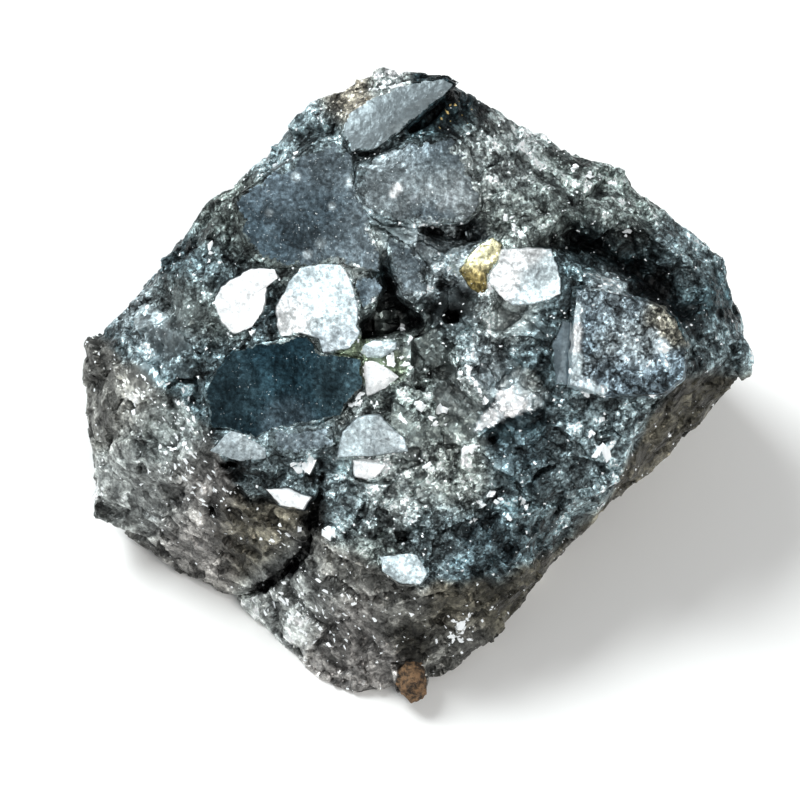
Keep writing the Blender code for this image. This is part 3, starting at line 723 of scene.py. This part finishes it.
def felted(finish, place, grain):
    """The brightness, normal and roughness of felted metallic grains. Every grain's brightness is
    a random power of e, narrow crevices between the clumps of grains are painted dark as shade, and the
    brighter of the finest grains are smoother. The less the grain, the plainer the surface."""
    wobble = finish.vector("SUBTRACT", finish.noise(place, 0.5), (0.5, 0.5, 0.5))
    place = finish.vector("ADD", place, finish.vector("MULTIPLY", wobble, (FELT_WARP * MM,) * 3))
    fine = finish.channel(finish.grains(place, FINE_CELL, "Color"))
    middle = finish.channel(finish.grains(place, CLUMP_CELL, "Color"))
    clouds = finish.noise(place, CLOUD_SIZE, detail=7.0, roughness=0.70)
    cells = {"Vector": place, "Scale": 1 / (CREVICE_CELL * MM)}
    gap = finish.add("ShaderNodeTexVoronoi", {"feature": "DISTANCE_TO_EDGE"}, cells)
    crevice = (1 - finish.between(gap, 0.0, 0.12)) * finish.between(clouds, 0.55, 0.38)
    level = (fine - 0.5) * 1.6 + (middle - 0.5) * 1.2 + (clouds - 0.5) * 7.2 - crevice * 1.1
    brightness = finish.math("EXPONENT", level * grain) * FELT_LEVEL
    relief = finish.bump((fine * 0.5 + middle * 0.6 + clouds - crevice * 0.6) * grain, FELT_RELIEF)
    normal = finish.glinting(finish.grains(place, GLINT_CELL, "Color"), FELT_TILT, relief)
    return brightness, normal, ORE_ROUGHNESS - fine * 0.12


def tinted(finish, attribute, brightness):
    """The named attribute's colour times a brightness."""
    scale = finish.add("ShaderNodeCombineColor", None, dict.fromkeys(range(3), brightness))
    return finish.mix(1.0, finish.attribute(attribute, "Color"), scale, "MULTIPLY")


def ore_finish(name):
    """The ore's finish: felted grains, in the tone of the piece's patches."""
    finish = Finish(name)
    brightness, normal, roughness = felted(finish, finish.place(), finish.attribute("grain", "Fac"))
    return finish.surface(
        Base_Color=tinted(finish, "patch", brightness), Metallic=0.75, Roughness=roughness, Normal=normal
    )


ore.data.materials.clear()
ore.data.materials.append(ore_finish("skutterudite_ore"))
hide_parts("ore_body")
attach(ore, "root")


# ------------------------------
# Crystals: single crystals of skutterudite with one smooth growth face showing. The face is a few
# nearly level growth planes, its edge is ragged where it broke or grew against the ore, and its
# sides go down into the ore that closed round them.

STRAIGHT_STEP = 0.08  # mm between points round a crystal's face
LAP = 0.22  # mm that the face reaches out over the gap round its solid
CHIPS = ((1.3, 0.09), (0.5, 0.08), (0.2, 0.05))  # size along the edge and bite into it, in mm
PLANE_SIZE = 2.6  # mm across one growth plane
FACE_ROWS = 40
HOST_LEVEL = 0.8  # brightness of the ore that grows in over a crystal's border
UNEVENNESS = ((0.9, 0.03), (0.35, 0.015))  # size across the face and height, in mm
MIDDLE_RIM = 9.0  # mm to the edge that the face's middle point is given
GRAIN_OF_BLACK = 1.5  # the grain of a black face, which falls to nothing for a white one
GRAIN_LIMITS = (0.35, 1.3)
SKIRT = ((0.02, 0.04), (0.05, 0.12), (0.09, 0.32), (0.20, 0.80), (0.30, 1.40))  # out, down in mm


def walked(corners, step):
    """Points at even steps along the closed outline."""
    closed = np.vstack([corners, corners[:1]])
    lengths = np.linalg.norm(np.diff(closed, axis=0), axis=1)
    along = np.concatenate([[0], np.cumsum(lengths)])
    count = max(48, int(along[-1] / step))
    stations = np.arange(count) * along[-1] / count
    return np.stack([np.interp(stations, along, closed[:, axis]) for axis in range(3)], axis=-1)


def crystal_rows(name, crown, planes, salt):
    """Rows of points from the face's middle over its edge and down the sides.

    On the face, a point is the middle plus a share of the way to the ragged outline. Its height
    is that of the plane through the outline, plus the crown's bulge, the swelling of the growth
    planes and a fine unevenness, all by its place, and the outline's own unevenness, by the cube
    of the share. Beyond the edge each row is further out and further down."""
    face, _ = face_and_root(name)
    outline = walked(face, STRAIGHT_STEP)
    middle = outline.mean(axis=0)
    away = outline[:, :2] - middle[:2]
    length = np.linalg.norm(away, axis=1)
    ray = away / length[:, None]
    chips = sum(bite * swell(outline, size, salt + turn) for turn, (size, bite) in enumerate(CHIPS))
    outline[:, :2] += ray * (LAP + chips)[:, None]
    plane = plane_through(outline)
    shares = np.linspace(0, 1, FACE_ROWS + 1)[1:, None, None]
    rows = middle + (outline - middle) * shares
    off_plane = outline[:, 2] - outline[:, :2] @ plane[:2] - plane[2]
    rows[:, :, 2] = rows[:, :, :2] @ plane[:2] + plane[2] + off_plane * shares[:, 0] ** 3
    bulging = 1 - (shares[:, 0] * (1 + (LAP + chips) / length)) ** 2
    flat = rows.reshape(-1, 3) * [1.0, 1.0, 0.0]
    uneven = planes * swell(flat, PLANE_SIZE, salt + 3)
    for turn, (size, height) in enumerate(UNEVENNESS):
        uneven += height * swell(flat, size, salt + 4 + turn)
    rows[:, :, 2] += crown * bulging + uneven.reshape(rows.shape[:2])
    skirt = []
    for out, down in SKIRT:
        ring = rows[-1].copy()
        ring[:, :2] += ray * out
        ring[:, 2] -= down
        skirt.append(ring)
    rows = np.concatenate([rows, np.stack(skirt)])
    to_edge = (1 - shares[:, 0]) * np.linalg.norm(outline - middle, axis=1)
    beyond = np.repeat([-down for _, down in SKIRT], len(outline))
    return rows, np.concatenate([to_edge.ravel(), beyond])


def crystal_piece(name, finish, patches, level=1.0, crown=0.1, planes=0.08, salt=0):
    """The visible crystal of a node. Its "rim" is the mm to its edge, and its "patch" the tone of
    the nearest of its patches, times a level for the tilt at which its face meets the light. Its
    "grain" is lower where it is pale."""
    rows, rim = crystal_rows(name, crown, planes, salt)
    places, faces = closed_skin(rows)
    piece = new_piece(name + "_surface", places, faces)
    piece.data.shade_smooth()
    add_attribute(piece, "rim", np.append(rim, (MIDDLE_RIM, -SKIRT[-1][1])))
    add_attribute(piece, "host", np.minimum(patch_colours(places) * HOST_LEVEL, 1.0))
    tones = patched(places, patches)
    add_attribute(piece, "patch", np.minimum(tones * level, 1.0))
    grain = GRAIN_OF_BLACK - GRAIN_OF_BLACK * tones.mean(axis=1)
    add_attribute(piece, "grain", np.clip(grain, *GRAIN_LIMITS))
    piece.data.materials.append(finish)
    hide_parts(name)
    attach(piece, "root")


BLACK_DUST = (0.012, 0.018, 0.020, 1)
PALE_DUST = (0.5, 0.56, 0.59, 1)
SPECK_WHITE = (0.85, 0.92, 0.94, 1)
# Painted shade for a crystal's sides in the gap round it.
GAP_SHADE_BLACK = (0.012, 0.017, 0.020, 1)
FACE_ROUGHNESS = 0.38
FACE_SPECULAR = 0.25
FACE_RELIEF = 0.07  # mm
FACE_TILT = 0.06


def crystal_finish(name, contrast, metallic=0.6, specks=0.72, clinging_from=0.70, overgrown=0.0):
    """A growth face: its patch's tone, mottled by a random power of e in proportion to the
    contrast, faint growth steps, a few bright specks, and dust where ore still clings. Felted ore
    grows in over its border for about so many mm, and its colour there is the host attribute's.
    Where none grows in, the sides are painted dark below the edge, as shade in the gap round the crystal."""
    finish = Finish(name)
    place = finish.place()
    broad = finish.noise(place, 1.2, detail=4.0, roughness=0.6)
    fine = finish.noise(place, 0.34, detail=3.0, roughness=0.62)
    grain = finish.channel(finish.grains(place, 0.2, "Color"))
    step = finish.channel(finish.grains(place, 2.3, "Color"))
    mottling = (broad - 0.5) * 4.5 + (fine - 0.5) * 6.5 + (grain - 0.5) * 1.1 + (step - 0.5) * 1.2
    colour = tinted(finish, "patch", finish.math("EXPONENT", mottling * contrast))
    crust = finish.noise(place, 0.7, detail=5.0, roughness=0.7)
    clinging = finish.between(crust, clinging_from, clinging_from + 0.06)
    colour = finish.mix(clinging * 0.7, colour, finish.mix(grain ** 2.5, BLACK_DUST, PALE_DUST))
    speck = finish.between(finish.noise(place, 0.15, detail=2.0, roughness=0.5), specks, specks + 0.03)
    colour = finish.mix(speck * 0.8, colour, SPECK_WHITE)
    relief = finish.bump(broad * 0.4 + fine * 0.7 + grain * 0.15, FACE_RELIEF)
    normal = finish.glinting(finish.grains(place, 0.4, "Color"), FACE_TILT, relief)
    roughness = FACE_ROUGHNESS
    rim = finish.attribute("rim", "Fac")
    if overgrown:
        brightness, felt, dullness = felted(finish, place, 1.0)
        wander = finish.noise(place, 1.7, detail=6.0, roughness=0.7) - 0.5
        ragged = rim + wander * (overgrown * 6.0)
        over = 1 - finish.between(ragged, overgrown * 0.35, overgrown * 0.6)
        colour = finish.mix(over, colour, tinted(finish, "host", brightness))
        normal = finish.mixed_vector(over, normal, felt)
        roughness = over * (dullness - roughness) + roughness
    else:
        # Painted shade down the sides in the gap.
        colour = finish.mix(1 - finish.between(rim, -0.6, -0.15), colour, GAP_SHADE_BLACK)
    return finish.surface(
        Base_Color=colour, Metallic=metallic, Roughness=roughness,
        Specular_IOR_Level=FACE_SPECULAR, Normal=normal,
    )


# Tones of the growth faces, as red, green and blue.
FACE_GREY = (0.25, 0.295, 0.31)
FACE_DIM = (0.16, 0.205, 0.23)
FACE_BLUE = (0.13, 0.175, 0.205)
FACE_SHADE = (0.06, 0.09, 0.11)
# Painted shade: the dusk and navy tones stand for a face of the grey metal that mirrors the dark room.
SHADE_DUSK = (0.028, 0.052, 0.064)
SHADE_NAVY = (0.014, 0.034, 0.046)
# Painted highlight: the white and ice tones, and the milk and mist ones, stand for faces and spots of the
# grey metal that mirror the window.
HIGHLIGHT_WHITE = (0.97, 0.99, 0.99)
HIGHLIGHT_ICE = (0.75, 0.88, 0.92)
FACE_BROWN = (0.17, 0.165, 0.135)
FACE_MILK = (0.64, 0.74, 0.79)
FACE_MIST = (0.50, 0.58, 0.61)

calm = crystal_finish("calm_face", 0.16, overgrown=0.25)
clouded = crystal_finish("clouded_face", 0.56, specks=0.69, clinging_from=0.67, overgrown=0.75)
crystal_piece("crest_crystal", calm, ((-2, 20.5, 5.0, FACE_GREY),),
              level=0.72, crown=0.15, salt=101)
crystal_piece("broad_crystal", clouded, (
    (-10.5, 14.4, 2.0, FACE_BLUE), (-8, 12.5, 2.0, FACE_SHADE), (-12.6, 11.8, 2.0, FACE_SHADE),
    (-9.3, 15.6, 0.2, FACE_MIST), (-6.6, 13.4, 0.16, FACE_MIST), (-5.2, 15.2, 0.2, FACE_MIST),
    (-11.3, 12.9, 0.16, FACE_MIST), (-7.4, 10.6, 0.25, FACE_GREY), (-8.4, 9.8, 0.18, FACE_MIST),
    (-7, 16.5, 1.8, FACE_DIM), (-6, 10.2, 1.8, FACE_DIM), (-4.6, 11.8, 1.4, FACE_DIM),
), level=0.66, planes=0.14, salt=131)
crystal_piece("dome_crystal", clouded, (
    (-3, 15.0, 1.6, FACE_GREY), (0, 15.2, 1.8, FACE_GREY), (2.3, 14.4, 1.4, FACE_GREY),
    (1, 17.4, 1.6, FACE_DIM), (1, 12.8, 1.0, FACE_BLUE), (-1.7, 14.7, 0.22, HIGHLIGHT_WHITE),
    (-2, 14.3, 0.18, HIGHLIGHT_WHITE), (2.3, 14.0, 0.35, FACE_MILK), (1.6, 13.3, 0.25, FACE_MIST),
    (2.9, 15.0, 0.3, FACE_MIST), (0.7, 14.9, 0.22, FACE_MIST), (-0.4, 13.9, 0.18, FACE_MILK),
), level=0.72, crown=0.7, planes=0.16, salt=161)
crystal_piece("hollow_side_crystal", clouded, ((-1, 8.5, 2.0, FACE_DIM),),
              level=0.6, salt=191)
crystal_piece("narrow_crystal", clouded, ((-3.8, 7.0, 2.0, FACE_BLUE),), salt=221)
crystal_piece("strip_crystal", calm, ((10.7, 2.5, 3.0, FACE_DIM),),
              level=0.75, salt=251)
crystal_piece("middle_facet_crystal", clouded, ((-9, -4.3, 3.0, FACE_DIM),), salt=281)
# The block's top is granular like the ore, with a brown corner; its white edges and pale streak are painted
# highlight.
crystal_piece("block_crystal", ore_finish("granular_face"), (
    (15.2, 3.4, 1.8, FACE_GREY), (15, 1.0, 1.2, FACE_BLUE), (13.6, 4.8, 1.2, FACE_DIM),
    (16.2, 5.6, 0.8, FACE_DIM), (18.6, 4.4, 0.8, FACE_BROWN), (17.4, 5.2, 0.7, FACE_BROWN),
    (18, 3.0, 0.3, FACE_MILK), (17.4, 3.9, 0.25, FACE_MIST), (11.7, 5.6, 0.26, HIGHLIGHT_ICE),
    (11.7, 4.9, 0.26, HIGHLIGHT_ICE), (11.7, 4.2, 0.28, HIGHLIGHT_WHITE), (11.6, 3.5, 0.28, HIGHLIGHT_WHITE),
    (11.6, 2.8, 0.28, HIGHLIGHT_WHITE), (11.6, 2.1, 0.28, HIGHLIGHT_ICE), (11.5, 1.4, 0.28, HIGHLIGHT_ICE),
    (11.4, 0.7, 0.3, HIGHLIGHT_ICE), (11.9, 0.1, 0.26, FACE_MILK), (12.7, -0.1, 0.25, HIGHLIGHT_ICE),
    (13.5, -0.4, 0.2, HIGHLIGHT_ICE), (12.6, 3.0, 0.5, FACE_BLUE), (12.6, 4.6, 0.5, FACE_BLUE),
    (18.4, 0.8, 1.0, FACE_BLUE),
), level=0.85, planes=0.16, salt=311)

# The bright crystals are faces that mirror the window; their near-white tones are painted highlight.
bright = crystal_finish("bright_face", 0.20, metallic=0.3)
frosted = crystal_finish("frosted_face", 0.50, metallic=0.3, clinging_from=0.72)
misty = crystal_finish("misty_face", 0.40, metallic=0.4, clinging_from=0.66)
for order, (name, finish, level, patches) in enumerate((
    ("west_bright_crystal", bright, 0.95, ((-13, 6.5, 3.0, HIGHLIGHT_WHITE),)),
    ("centre_bright_crystal", frosted, 0.82, (
        (-8, 7.0, 1.8, HIGHLIGHT_ICE), (-9.6, 5.4, 1.0, HIGHLIGHT_WHITE), (-6, 6.4, 1.2, HIGHLIGHT_ICE),
        (-6.2, 3.0, 1.0, FACE_MILK), (-7.6, 2.7, 0.7, FACE_MILK),
    )),
    ("triangle_crystal", bright, 0.9, ((-3.3, 0.7, 2.0, HIGHLIGHT_WHITE),)),
    ("pale_crystal", frosted, 0.82, (
        (6.7, 8.3, 0.9, HIGHLIGHT_WHITE), (8.3, 8.3, 0.8, FACE_MIST), (9.6, 8.0, 0.8, HIGHLIGHT_ICE),
        (8, 9.6, 0.6, HIGHLIGHT_WHITE), (8.2, 6.9, 0.7, HIGHLIGHT_ICE),
    )),
    ("white_ledge_crystal", bright, 0.9, ((-10, -8.4, 2.0, HIGHLIGHT_WHITE),)),
    ("lower_bright_crystal", frosted, 0.74, ((-1.2, -13.8, 2.0, HIGHLIGHT_ICE),)),
    ("upper_white_crystal", misty, 0.85, ((-3.2, 2.6, 2.0, HIGHLIGHT_ICE),)),
    ("low_white_crystal", bright, 0.9, ((-3.9, -6.3, 2.0, HIGHLIGHT_WHITE),)),
    ("wedge_crystal", misty, 0.72, (
        (-3.3, -3.8, 1.0, FACE_MIST), (-5.4, -4.7, 0.9, HIGHLIGHT_ICE), (-1.9, -4.6, 0.6, FACE_MIST),
        (-4, -2.7, 0.4, HIGHLIGHT_ICE),
    )),
    ("left_pale_crystal", misty, 0.62, ((-13.3, -4.8, 2.0, FACE_MIST),)),
)):
    crystal_piece(name, finish, patches, level, salt=401 + 30 * order)

# The dark crystal's face mirrors the dark room; its near-black tones are painted shade.
dark_face = crystal_finish("dark_face", 0.50, metallic=0.9, clinging_from=0.74, overgrown=0.3)
crystal_piece("dark_crystal", dark_face, (
    (-14, 0.0, 1.6, SHADE_DUSK), (-10.5, 0.8, 2.4, SHADE_NAVY), (-6, 0.2, 1.4, SHADE_DUSK),
    (-10, -2.4, 1.0, FACE_SHADE),
), level=0.8, crown=0.2, planes=0.16, salt=801)


# ------------------------------
# Glints: small crystal corners that stand out of the ore and catch the light. Each is a cluster
# of little broken blocks with eight corners, half sunk into the ore, and all are one piece.
# Their near-white colour is painted highlight, so that they look lit whichever way they face.

# Places on the face in mm across and up, and the size in mm.
GLINTS = (
    (-15.6, 10.2, 0.36), (-9.3, 17.3, 0.22), (-10.9, 16.6, 0.24), (-9.8, 16.7, 0.2), (-3.4, 22.1, 0.3),
    (-2.7, 22.4, 0.34), (-2.1, 22.3, 0.26), (11.7, 16.3, 0.34), (12.8, 15.8, 0.3), (14.6, 15.2, 0.26),
    (7.5, 11.4, 0.28), (7, 11.8, 0.2), (15.6, 11.5, 0.24), (13.7, 7.5, 0.2), (6.5, 12.6, 0.24),
    (-1.3, 4.2, 0.26), (-0.7, 3.4, 0.26), (0, -1.6, 0.4), (1.5, -1.9, 0.4), (-4.6, -0.7, 0.24),
    (-5, -1.4, 0.2), (-4.4, -1.3, 0.24), (-3.4, -1.5, 0.22), (1.1, -2.8, 0.3), (-1.3, -2.6, 0.26),
    (3.6, -4.8, 0.44), (13.5, -2.7, 0.26), (12.9, -3.8, 0.22), (13.7, -4.8, 0.4), (17.5, -0.7, 0.26),
    (7.7, -8.5, 0.26), (7.9, -9.1, 0.22), (6.7, -10, 0.24), (4, -10.2, 0.24), (4.6, -8.9, 0.22),
    (6, -8.7, 0.2), (5.3, -8.2, 0.24), (3.8, 1, 0.28), (-12.6, 3.75, 0.2), (-8.4, -5.8, 0.5),
    (-9, -6.1, 0.36), (-6.5, -11, 0.4), (0.6, -6, 0.26), (-2, 1.8, 0.34), (-1.2, 1.5, 0.26),
    (3.1, 0.9, 0.26), (4.3, 0.1, 0.24), (4.9, -1, 0.24), (2.6, -19, 0.34), (3.2, -18.2, 0.34),
    (11.3, 1, 0.3), (12.6, -0.6, 0.34), (13.6, -0.7, 0.3), (17.6, 3.6, 0.24), (18.2, 2.7, 0.26),
)
# Edges of broken crystals, painted white all along as highlight: the points that each runs through.
HIGHLIT_EDGES = (
    ((2.8, 1.2), (3.7, 0.6), (4.6, -0.4), (5.0, -1.5)),
    ((-1.2, -4.9), (-0.2, -5.4), (0.8, -6.1)),
    ((-2.2, 2.5), (-1.4, 1.9), (-0.6, 1.3)),
    ((11.3, 0.1), (12.6, -0.5), (14.4, -0.8)),
    ((3.9, -17.3), (3.0, -18.4), (2.2, -19.7)),
    ((-0.4, 12.1), (1.2, 12.0), (3.0, 12.2)),
    ((4.2, -3.4), (5.2, -2.4), (5.8, -1.4), (6.2, -0.5)),
)
GLINT_SHARE = 1.05  # a glint block's half width for each mm of its glint's size
GLINT_CLUSTER = 3  # blocks grown together in one glint
GLINT_SCATTER = 0.5  # how far apart they stand, for each mm of its size
GLINT_SIZES = (0.6, 1.15)  # smallest and largest block beside its glint
# Streaks of slender glints on the flanks: middle across and up, spread across and up, and count.
STREAKS = (
    (-17.6, -3.9, 1, 1.8, 60), (-21, -0.6, 1, 0.9, 14), (-15.6, -8, 1.4, 1.5, 30),
    (-8.6, -17, 1.8, 1.2, 45), (-5, -18.6, 1.8, 1.2, 25), (3, -18.6, 0.7, 0.9, 22),
    (-10.6, -11.6, 0.6, 0.5, 12),
)
STREAK_HEADING = np.array([0.55, -0.83, 0.0])
STREAK_WANDER = 0.3  # how far the blocks turn from the heading
STREAK_HALF_WIDTH = (0.05, 0.15)  # mm
STREAK_SLENDERNESS = 2.6
HIGHLIT_EDGE_STEP = 0.26  # mm between the glints of a highlit edge
HIGHLIT_EDGE_JITTER = 0.07  # mm
HIGHLIT_EDGE_HALF_WIDTH = (0.07, 0.2)  # mm
SPARKLE_COUNT = 1100
SPARKLE_FACING = 0.2  # how far outwards the skin faces where sparkles lie
SPARKLE_DEPTH = 0.02  # hollowness from which on none lie
SEAT_FACING = 0.15  # how far outwards the skin faces where the other blocks lie
SPARKLE_HALF_WIDTH = (0.04, 0.15)  # mm, smallest and largest of the scattered sparkles
ore_places = on_face(vectors(ore.data.vertices, "co"))


def resting(spots):
    """The ore's nearest skin point that faces outwards under each spot, and where it faces."""
    front = ore_facing[:, 2] > SEAT_FACING
    skin, facing = ore_places[front], ore_facing[front]
    nearest = [int(np.argmin(((skin[:, :2] - spot) ** 2).sum(axis=1))) for spot in spots]
    return skin[nearest], facing[nearest]


BLOCK_CORNERS = np.array(list(np.ndindex(2, 2, 2))) * 2.0 - 1.0
BLOCK_SHAPE = np.array([1.0, 0.8, 0.5])  # half widths along its heading's side, its heading and out
BLOCK_LEAN = 0.35
BLOCK_JITTER = (-0.9, 0.25)  # how far each corner is drawn in or out
BLOCK_STRETCH = (0.7, 1.4)
BLOCK_FACES = ((0, 1, 3, 2), (4, 6, 7, 5), (0, 4, 5, 1), (2, 3, 7, 6), (0, 2, 6, 4), (1, 5, 7, 3))


def little_blocks(seats, facing, half_widths, headings, slender, rng):
    """Blocks on their seats, each lengthened along its heading by its slenderness.

    A corner is the seat plus the block's corner, scaled and jittered, carried by three axes:
    the facing direction with a small random lean, and two at right angles to it."""
    out = facing + rng.normal(0, BLOCK_LEAN, facing.shape)
    out /= np.linalg.norm(out, axis=1, keepdims=True)
    side = np.cross(out, headings)
    side /= np.linalg.norm(side, axis=1, keepdims=True)
    third = np.cross(side, out)
    shape = BLOCK_CORNERS * (1 + rng.uniform(*BLOCK_JITTER, (len(seats), 8, 3)))
    long_side = rng.uniform(*BLOCK_STRETCH, (len(seats), 1, 1))
    shape = shape * half_widths[:, None, None] * BLOCK_SHAPE
    shape[..., :1] *= long_side
    shape[..., 1] *= slender[:, None]
    corners = (
        side[:, None] * shape[..., :1] + third[:, None] * shape[..., 1:2] + out[:, None] * shape[..., 2:]
    )
    places = (seats[:, None] + corners).reshape(-1, 3)
    starts = np.arange(len(seats))[:, None, None] * 8
    return places, (starts + np.array(BLOCK_FACES)).reshape(-1, 4).tolist()


def along_edge(corners):
    """Points at even steps along an open line through the corners."""
    corners = np.array(corners)
    along = np.concatenate([[0], np.cumsum(np.linalg.norm(np.diff(corners, axis=0), axis=1))])
    stations = np.arange(0, along[-1], HIGHLIT_EDGE_STEP)
    return np.stack([np.interp(stations, along, corners[:, axis]) for axis in range(2)], axis=-1)


rng = np.random.default_rng(7)
edge_spots = np.vstack([along_edge(corners) for corners in HIGHLIT_EDGES])
edge_spots += rng.normal(0, HIGHLIT_EDGE_JITTER, edge_spots.shape)
edge_widths = rng.uniform(*HIGHLIT_EDGE_HALF_WIDTH, len(edge_spots))
clusters = np.repeat(np.array(GLINTS), GLINT_CLUSTER, axis=0)
clusters[:, :2] += rng.normal(0, GLINT_SCATTER, (len(clusters), 2)) * clusters[:, 2:]
clusters[:, 2] *= GLINT_SHARE * rng.uniform(*GLINT_SIZES, len(clusters))
chosen = np.vstack([clusters, np.column_stack([edge_spots, edge_widths])])
streak_spots = np.vstack([
    rng.normal((across, up), (wide, high), (count, 2)) for across, up, wide, high, count in STREAKS
])
streak_spots = np.column_stack([streak_spots, rng.uniform(*STREAK_HALF_WIDTH, len(streak_spots))])
chosen = np.vstack([streak_spots, chosen])
seats, facing = resting(chosen[:, :2])
front = np.flatnonzero(ore_facing[:, 2] > SPARKLE_FACING)
open_front = front[deep[front] < SPARKLE_DEPTH]
scattered = rng.choice(open_front, SPARKLE_COUNT, replace=False)
small = SPARKLE_HALF_WIDTH[0] + rng.random(SPARKLE_COUNT) ** 3 * np.ptp(SPARKLE_HALF_WIDTH)
headings = rng.normal(0, 1, (len(seats) + SPARKLE_COUNT, 3))
headings[:len(streak_spots)] = STREAK_HEADING + STREAK_WANDER * headings[:len(streak_spots)]
slender = np.where(np.arange(len(headings)) < len(streak_spots), STREAK_SLENDERNESS, 1.0)
glints = new_piece("glints", *little_blocks(
    np.vstack([seats, ore_places[scattered]]), np.vstack([facing, ore_facing[scattered]]),
    np.concatenate([chosen[:, 2], small]), headings, slender, rng,
))
BLOCK_ROUGHNESS = 0.35
# Painted highlight: the glints' near-white colour.
PAINTED_GLINT_WHITE = (0.95, 0.98, 0.99, 1)
glint_finish = Finish("glint").surface(
    Base_Color=PAINTED_GLINT_WHITE, Metallic=0.1, Roughness=BLOCK_ROUGHNESS
)
glints.data.materials.append(glint_finish)
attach(glints, "root")


# ------------------------------
# Chalcopyrite: one brassy copper-iron grain with an uneven, tarnished skin, which grew between the
# ore and the pale crystal. Specks of it, too small to be parts, lie in the ore below the crest.

GOLD = (0.62, 0.58, 0.36)
DARK_GOLD = (0.17, 0.135, 0.05)
gold_face = crystal_finish("chalcopyrite", 0.8, metallic=0.7, specks=0.68)
crystal_piece("chalcopyrite_grain", gold_face, (
    (5.0, 9.8, 1.0, GOLD), (4.5, 7.8, 0.9, DARK_GOLD),
), crown=0.2, planes=0.3, salt=851)

# The specks: middle across and up, and half width.
GOLD_SPECKS = (
    (1.7, 20, 0.12), (2.1, 20.5, 0.20), (2.3, 19.8, 0.10), (2.6, 20.9, 0.13), (1.4, 19.3, 0.09),
    (3.1, 20.3, 0.08), (3.6, 19.6, 0.10), (2.9, 21.4, 0.09), (2.2, 21, 0.11), (4, 20.7, 0.07),
)
gold_seats, gold_facing = resting(np.array(GOLD_SPECKS)[:, :2])
gold_specks = new_piece("gold_specks", *little_blocks(
    gold_seats, gold_facing, np.array(GOLD_SPECKS)[:, 2], rng.normal(0, 1, gold_seats.shape),
    np.ones(len(gold_seats)), rng,
))
BRASS = (0.75, 0.55, 0.22, 1)
speck_finish = Finish("brassy_speck").surface(Base_Color=BRASS, Metallic=0.5, Roughness=BLOCK_ROUGHNESS)
gold_specks.data.materials.append(speck_finish)
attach(gold_specks, "root")


# ------------------------------
# Limonite: a soft rusty lump of weathered iron ore that clings to the lowest rim. It is an
# earthy crust with no crystal faces, so it is a lumpy ball grown onto the edge.

LUMP_RADII = (1.15, 1.55, 1.25)  # mm across, up and out of the face
LUMP_SWELLING = ((0.9, 0.20), (0.4, 0.10), (0.18, 0.06))  # size in mm, and share of the radius
LUMP_SINK = 0.5  # mm that its middle lies below its rim on the ore
LUMP_TURNS, LUMP_RISE = 96, 48
DARK_RUST = (0.022, 0.014, 0.008, 1)
RUST = (0.26, 0.15, 0.075, 1)


def lumpy_ball(middle, radii, salt):
    """Rows of points round a ball, each its direction times the radii, swollen by smooth noise."""
    down = (np.arange(LUMP_RISE) + 0.5) / LUMP_RISE * math.pi
    round_it = np.arange(LUMP_TURNS) / LUMP_TURNS * 2 * math.pi
    down, round_it = np.meshgrid(down, round_it, indexing="ij")
    ray = np.stack([
        np.sin(down) * np.cos(round_it), np.sin(down) * np.sin(round_it), -np.cos(down)
    ], axis=-1)
    place = ray.reshape(-1, 3) * radii
    swollen = np.ones(len(place))
    for turn, (size, share) in enumerate(LUMP_SWELLING):
        swollen += share * swell(place, size, salt + turn)
    return middle + (place * swollen[:, None]).reshape(*ray.shape)


lump_face, _ = face_and_root("limonite_lump")
lump_middle = lump_face.mean(axis=0) - [0.0, 0.0, LUMP_SINK]
lump = new_piece("limonite_lump_surface", *closed_skin(lumpy_ball(lump_middle, LUMP_RADII, 871)))
lump.data.shade_smooth()
rust = Finish("limonite")
crumbs = rust.noise(rust.place(), 0.5, detail=6.0, roughness=0.7)
rusty = rust.mix(rust.between(crumbs, 0.38, 0.66), DARK_RUST, RUST)
lump.data.materials.append(rust.surface(
    Base_Color=rusty, Roughness=0.9, Normal=rust.bump(crumbs, 0.15)
))
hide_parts("limonite_lump")
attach(lump, "root")


# ------------------------------
# The stage: a sheet of pale paper on the table, daylight from a window behind on the left, a soft
# lamp in front, and a camera that looks square at the leaning face from far off.

FLOOR_HALF = 1.5  # metres
PAPER = (0.93, 0.92, 0.9, 1)
FLOOR_CORNERS = np.array([(-1, -1, 0), (1, -1, 0), (1, 1, 0), (-1, 1, 0)]) * FLOOR_HALF
floor_mesh = bpy.data.meshes.new("floor")
floor_mesh.from_pydata(FLOOR_CORNERS.tolist(), [], [(0, 1, 2, 3)])
floor = linked("floor", floor_mesh)
floor_mesh.materials.append(Finish("pale_paper").surface(Base_Color=PAPER, Roughness=0.9))


def soft_light(name, spot, aim, size, power, colour):
    """A square area light at a spot in metres, turned to face its aim."""
    lamp = bpy.data.lights.new(name, "AREA")
    lamp.size = size
    lamp.energy = power
    lamp.color = colour
    holder = linked(name, lamp)
    holder.location = spot
    holder.rotation_euler = (Vector(aim) - Vector(spot)).to_track_quat("-Z", "Y").to_euler()


soft_light("window", (-0.35, 0.25, 0.65), (0, 0, 0.015), 0.35, 6.5, (0.93, 0.98, 1.0))
soft_light("front_fill", (0.25, -0.45, 0.55), (0, 0, 0.015), 0.4, 2.5, (1.0, 0.98, 0.95))

SKY = (0.90, 0.95, 1.0, 1.0)
world = bpy.data.worlds.new("studio")
bpy.context.scene.world = world
world.use_nodes = True
sky = world.node_tree.nodes["Background"]
sky.inputs["Color"].default_value = SKY
sky.inputs["Strength"].default_value = 0.35

VIEW_WIDTH = 60.0  # mm of the leaning face seen across the picture
VIEW_MIDDLE = np.array([-1.5, -1.125, 0.0])
VIEW_DISTANCE = 700.0  # mm
lens = bpy.data.cameras.new("camera")
lens.sensor_width = 36.0
lens.lens = lens.sensor_width * VIEW_DISTANCE / VIEW_WIDTH
lens.clip_end = 10.0
camera = linked("camera", lens)
camera.location = in_world(VIEW_MIDDLE + [0.0, 0.0, VIEW_DISTANCE])
camera.rotation_euler.x = LEAN
bpy.context.scene.camera = camera
bpy.context.scene.view_settings.view_transform = "Standard"
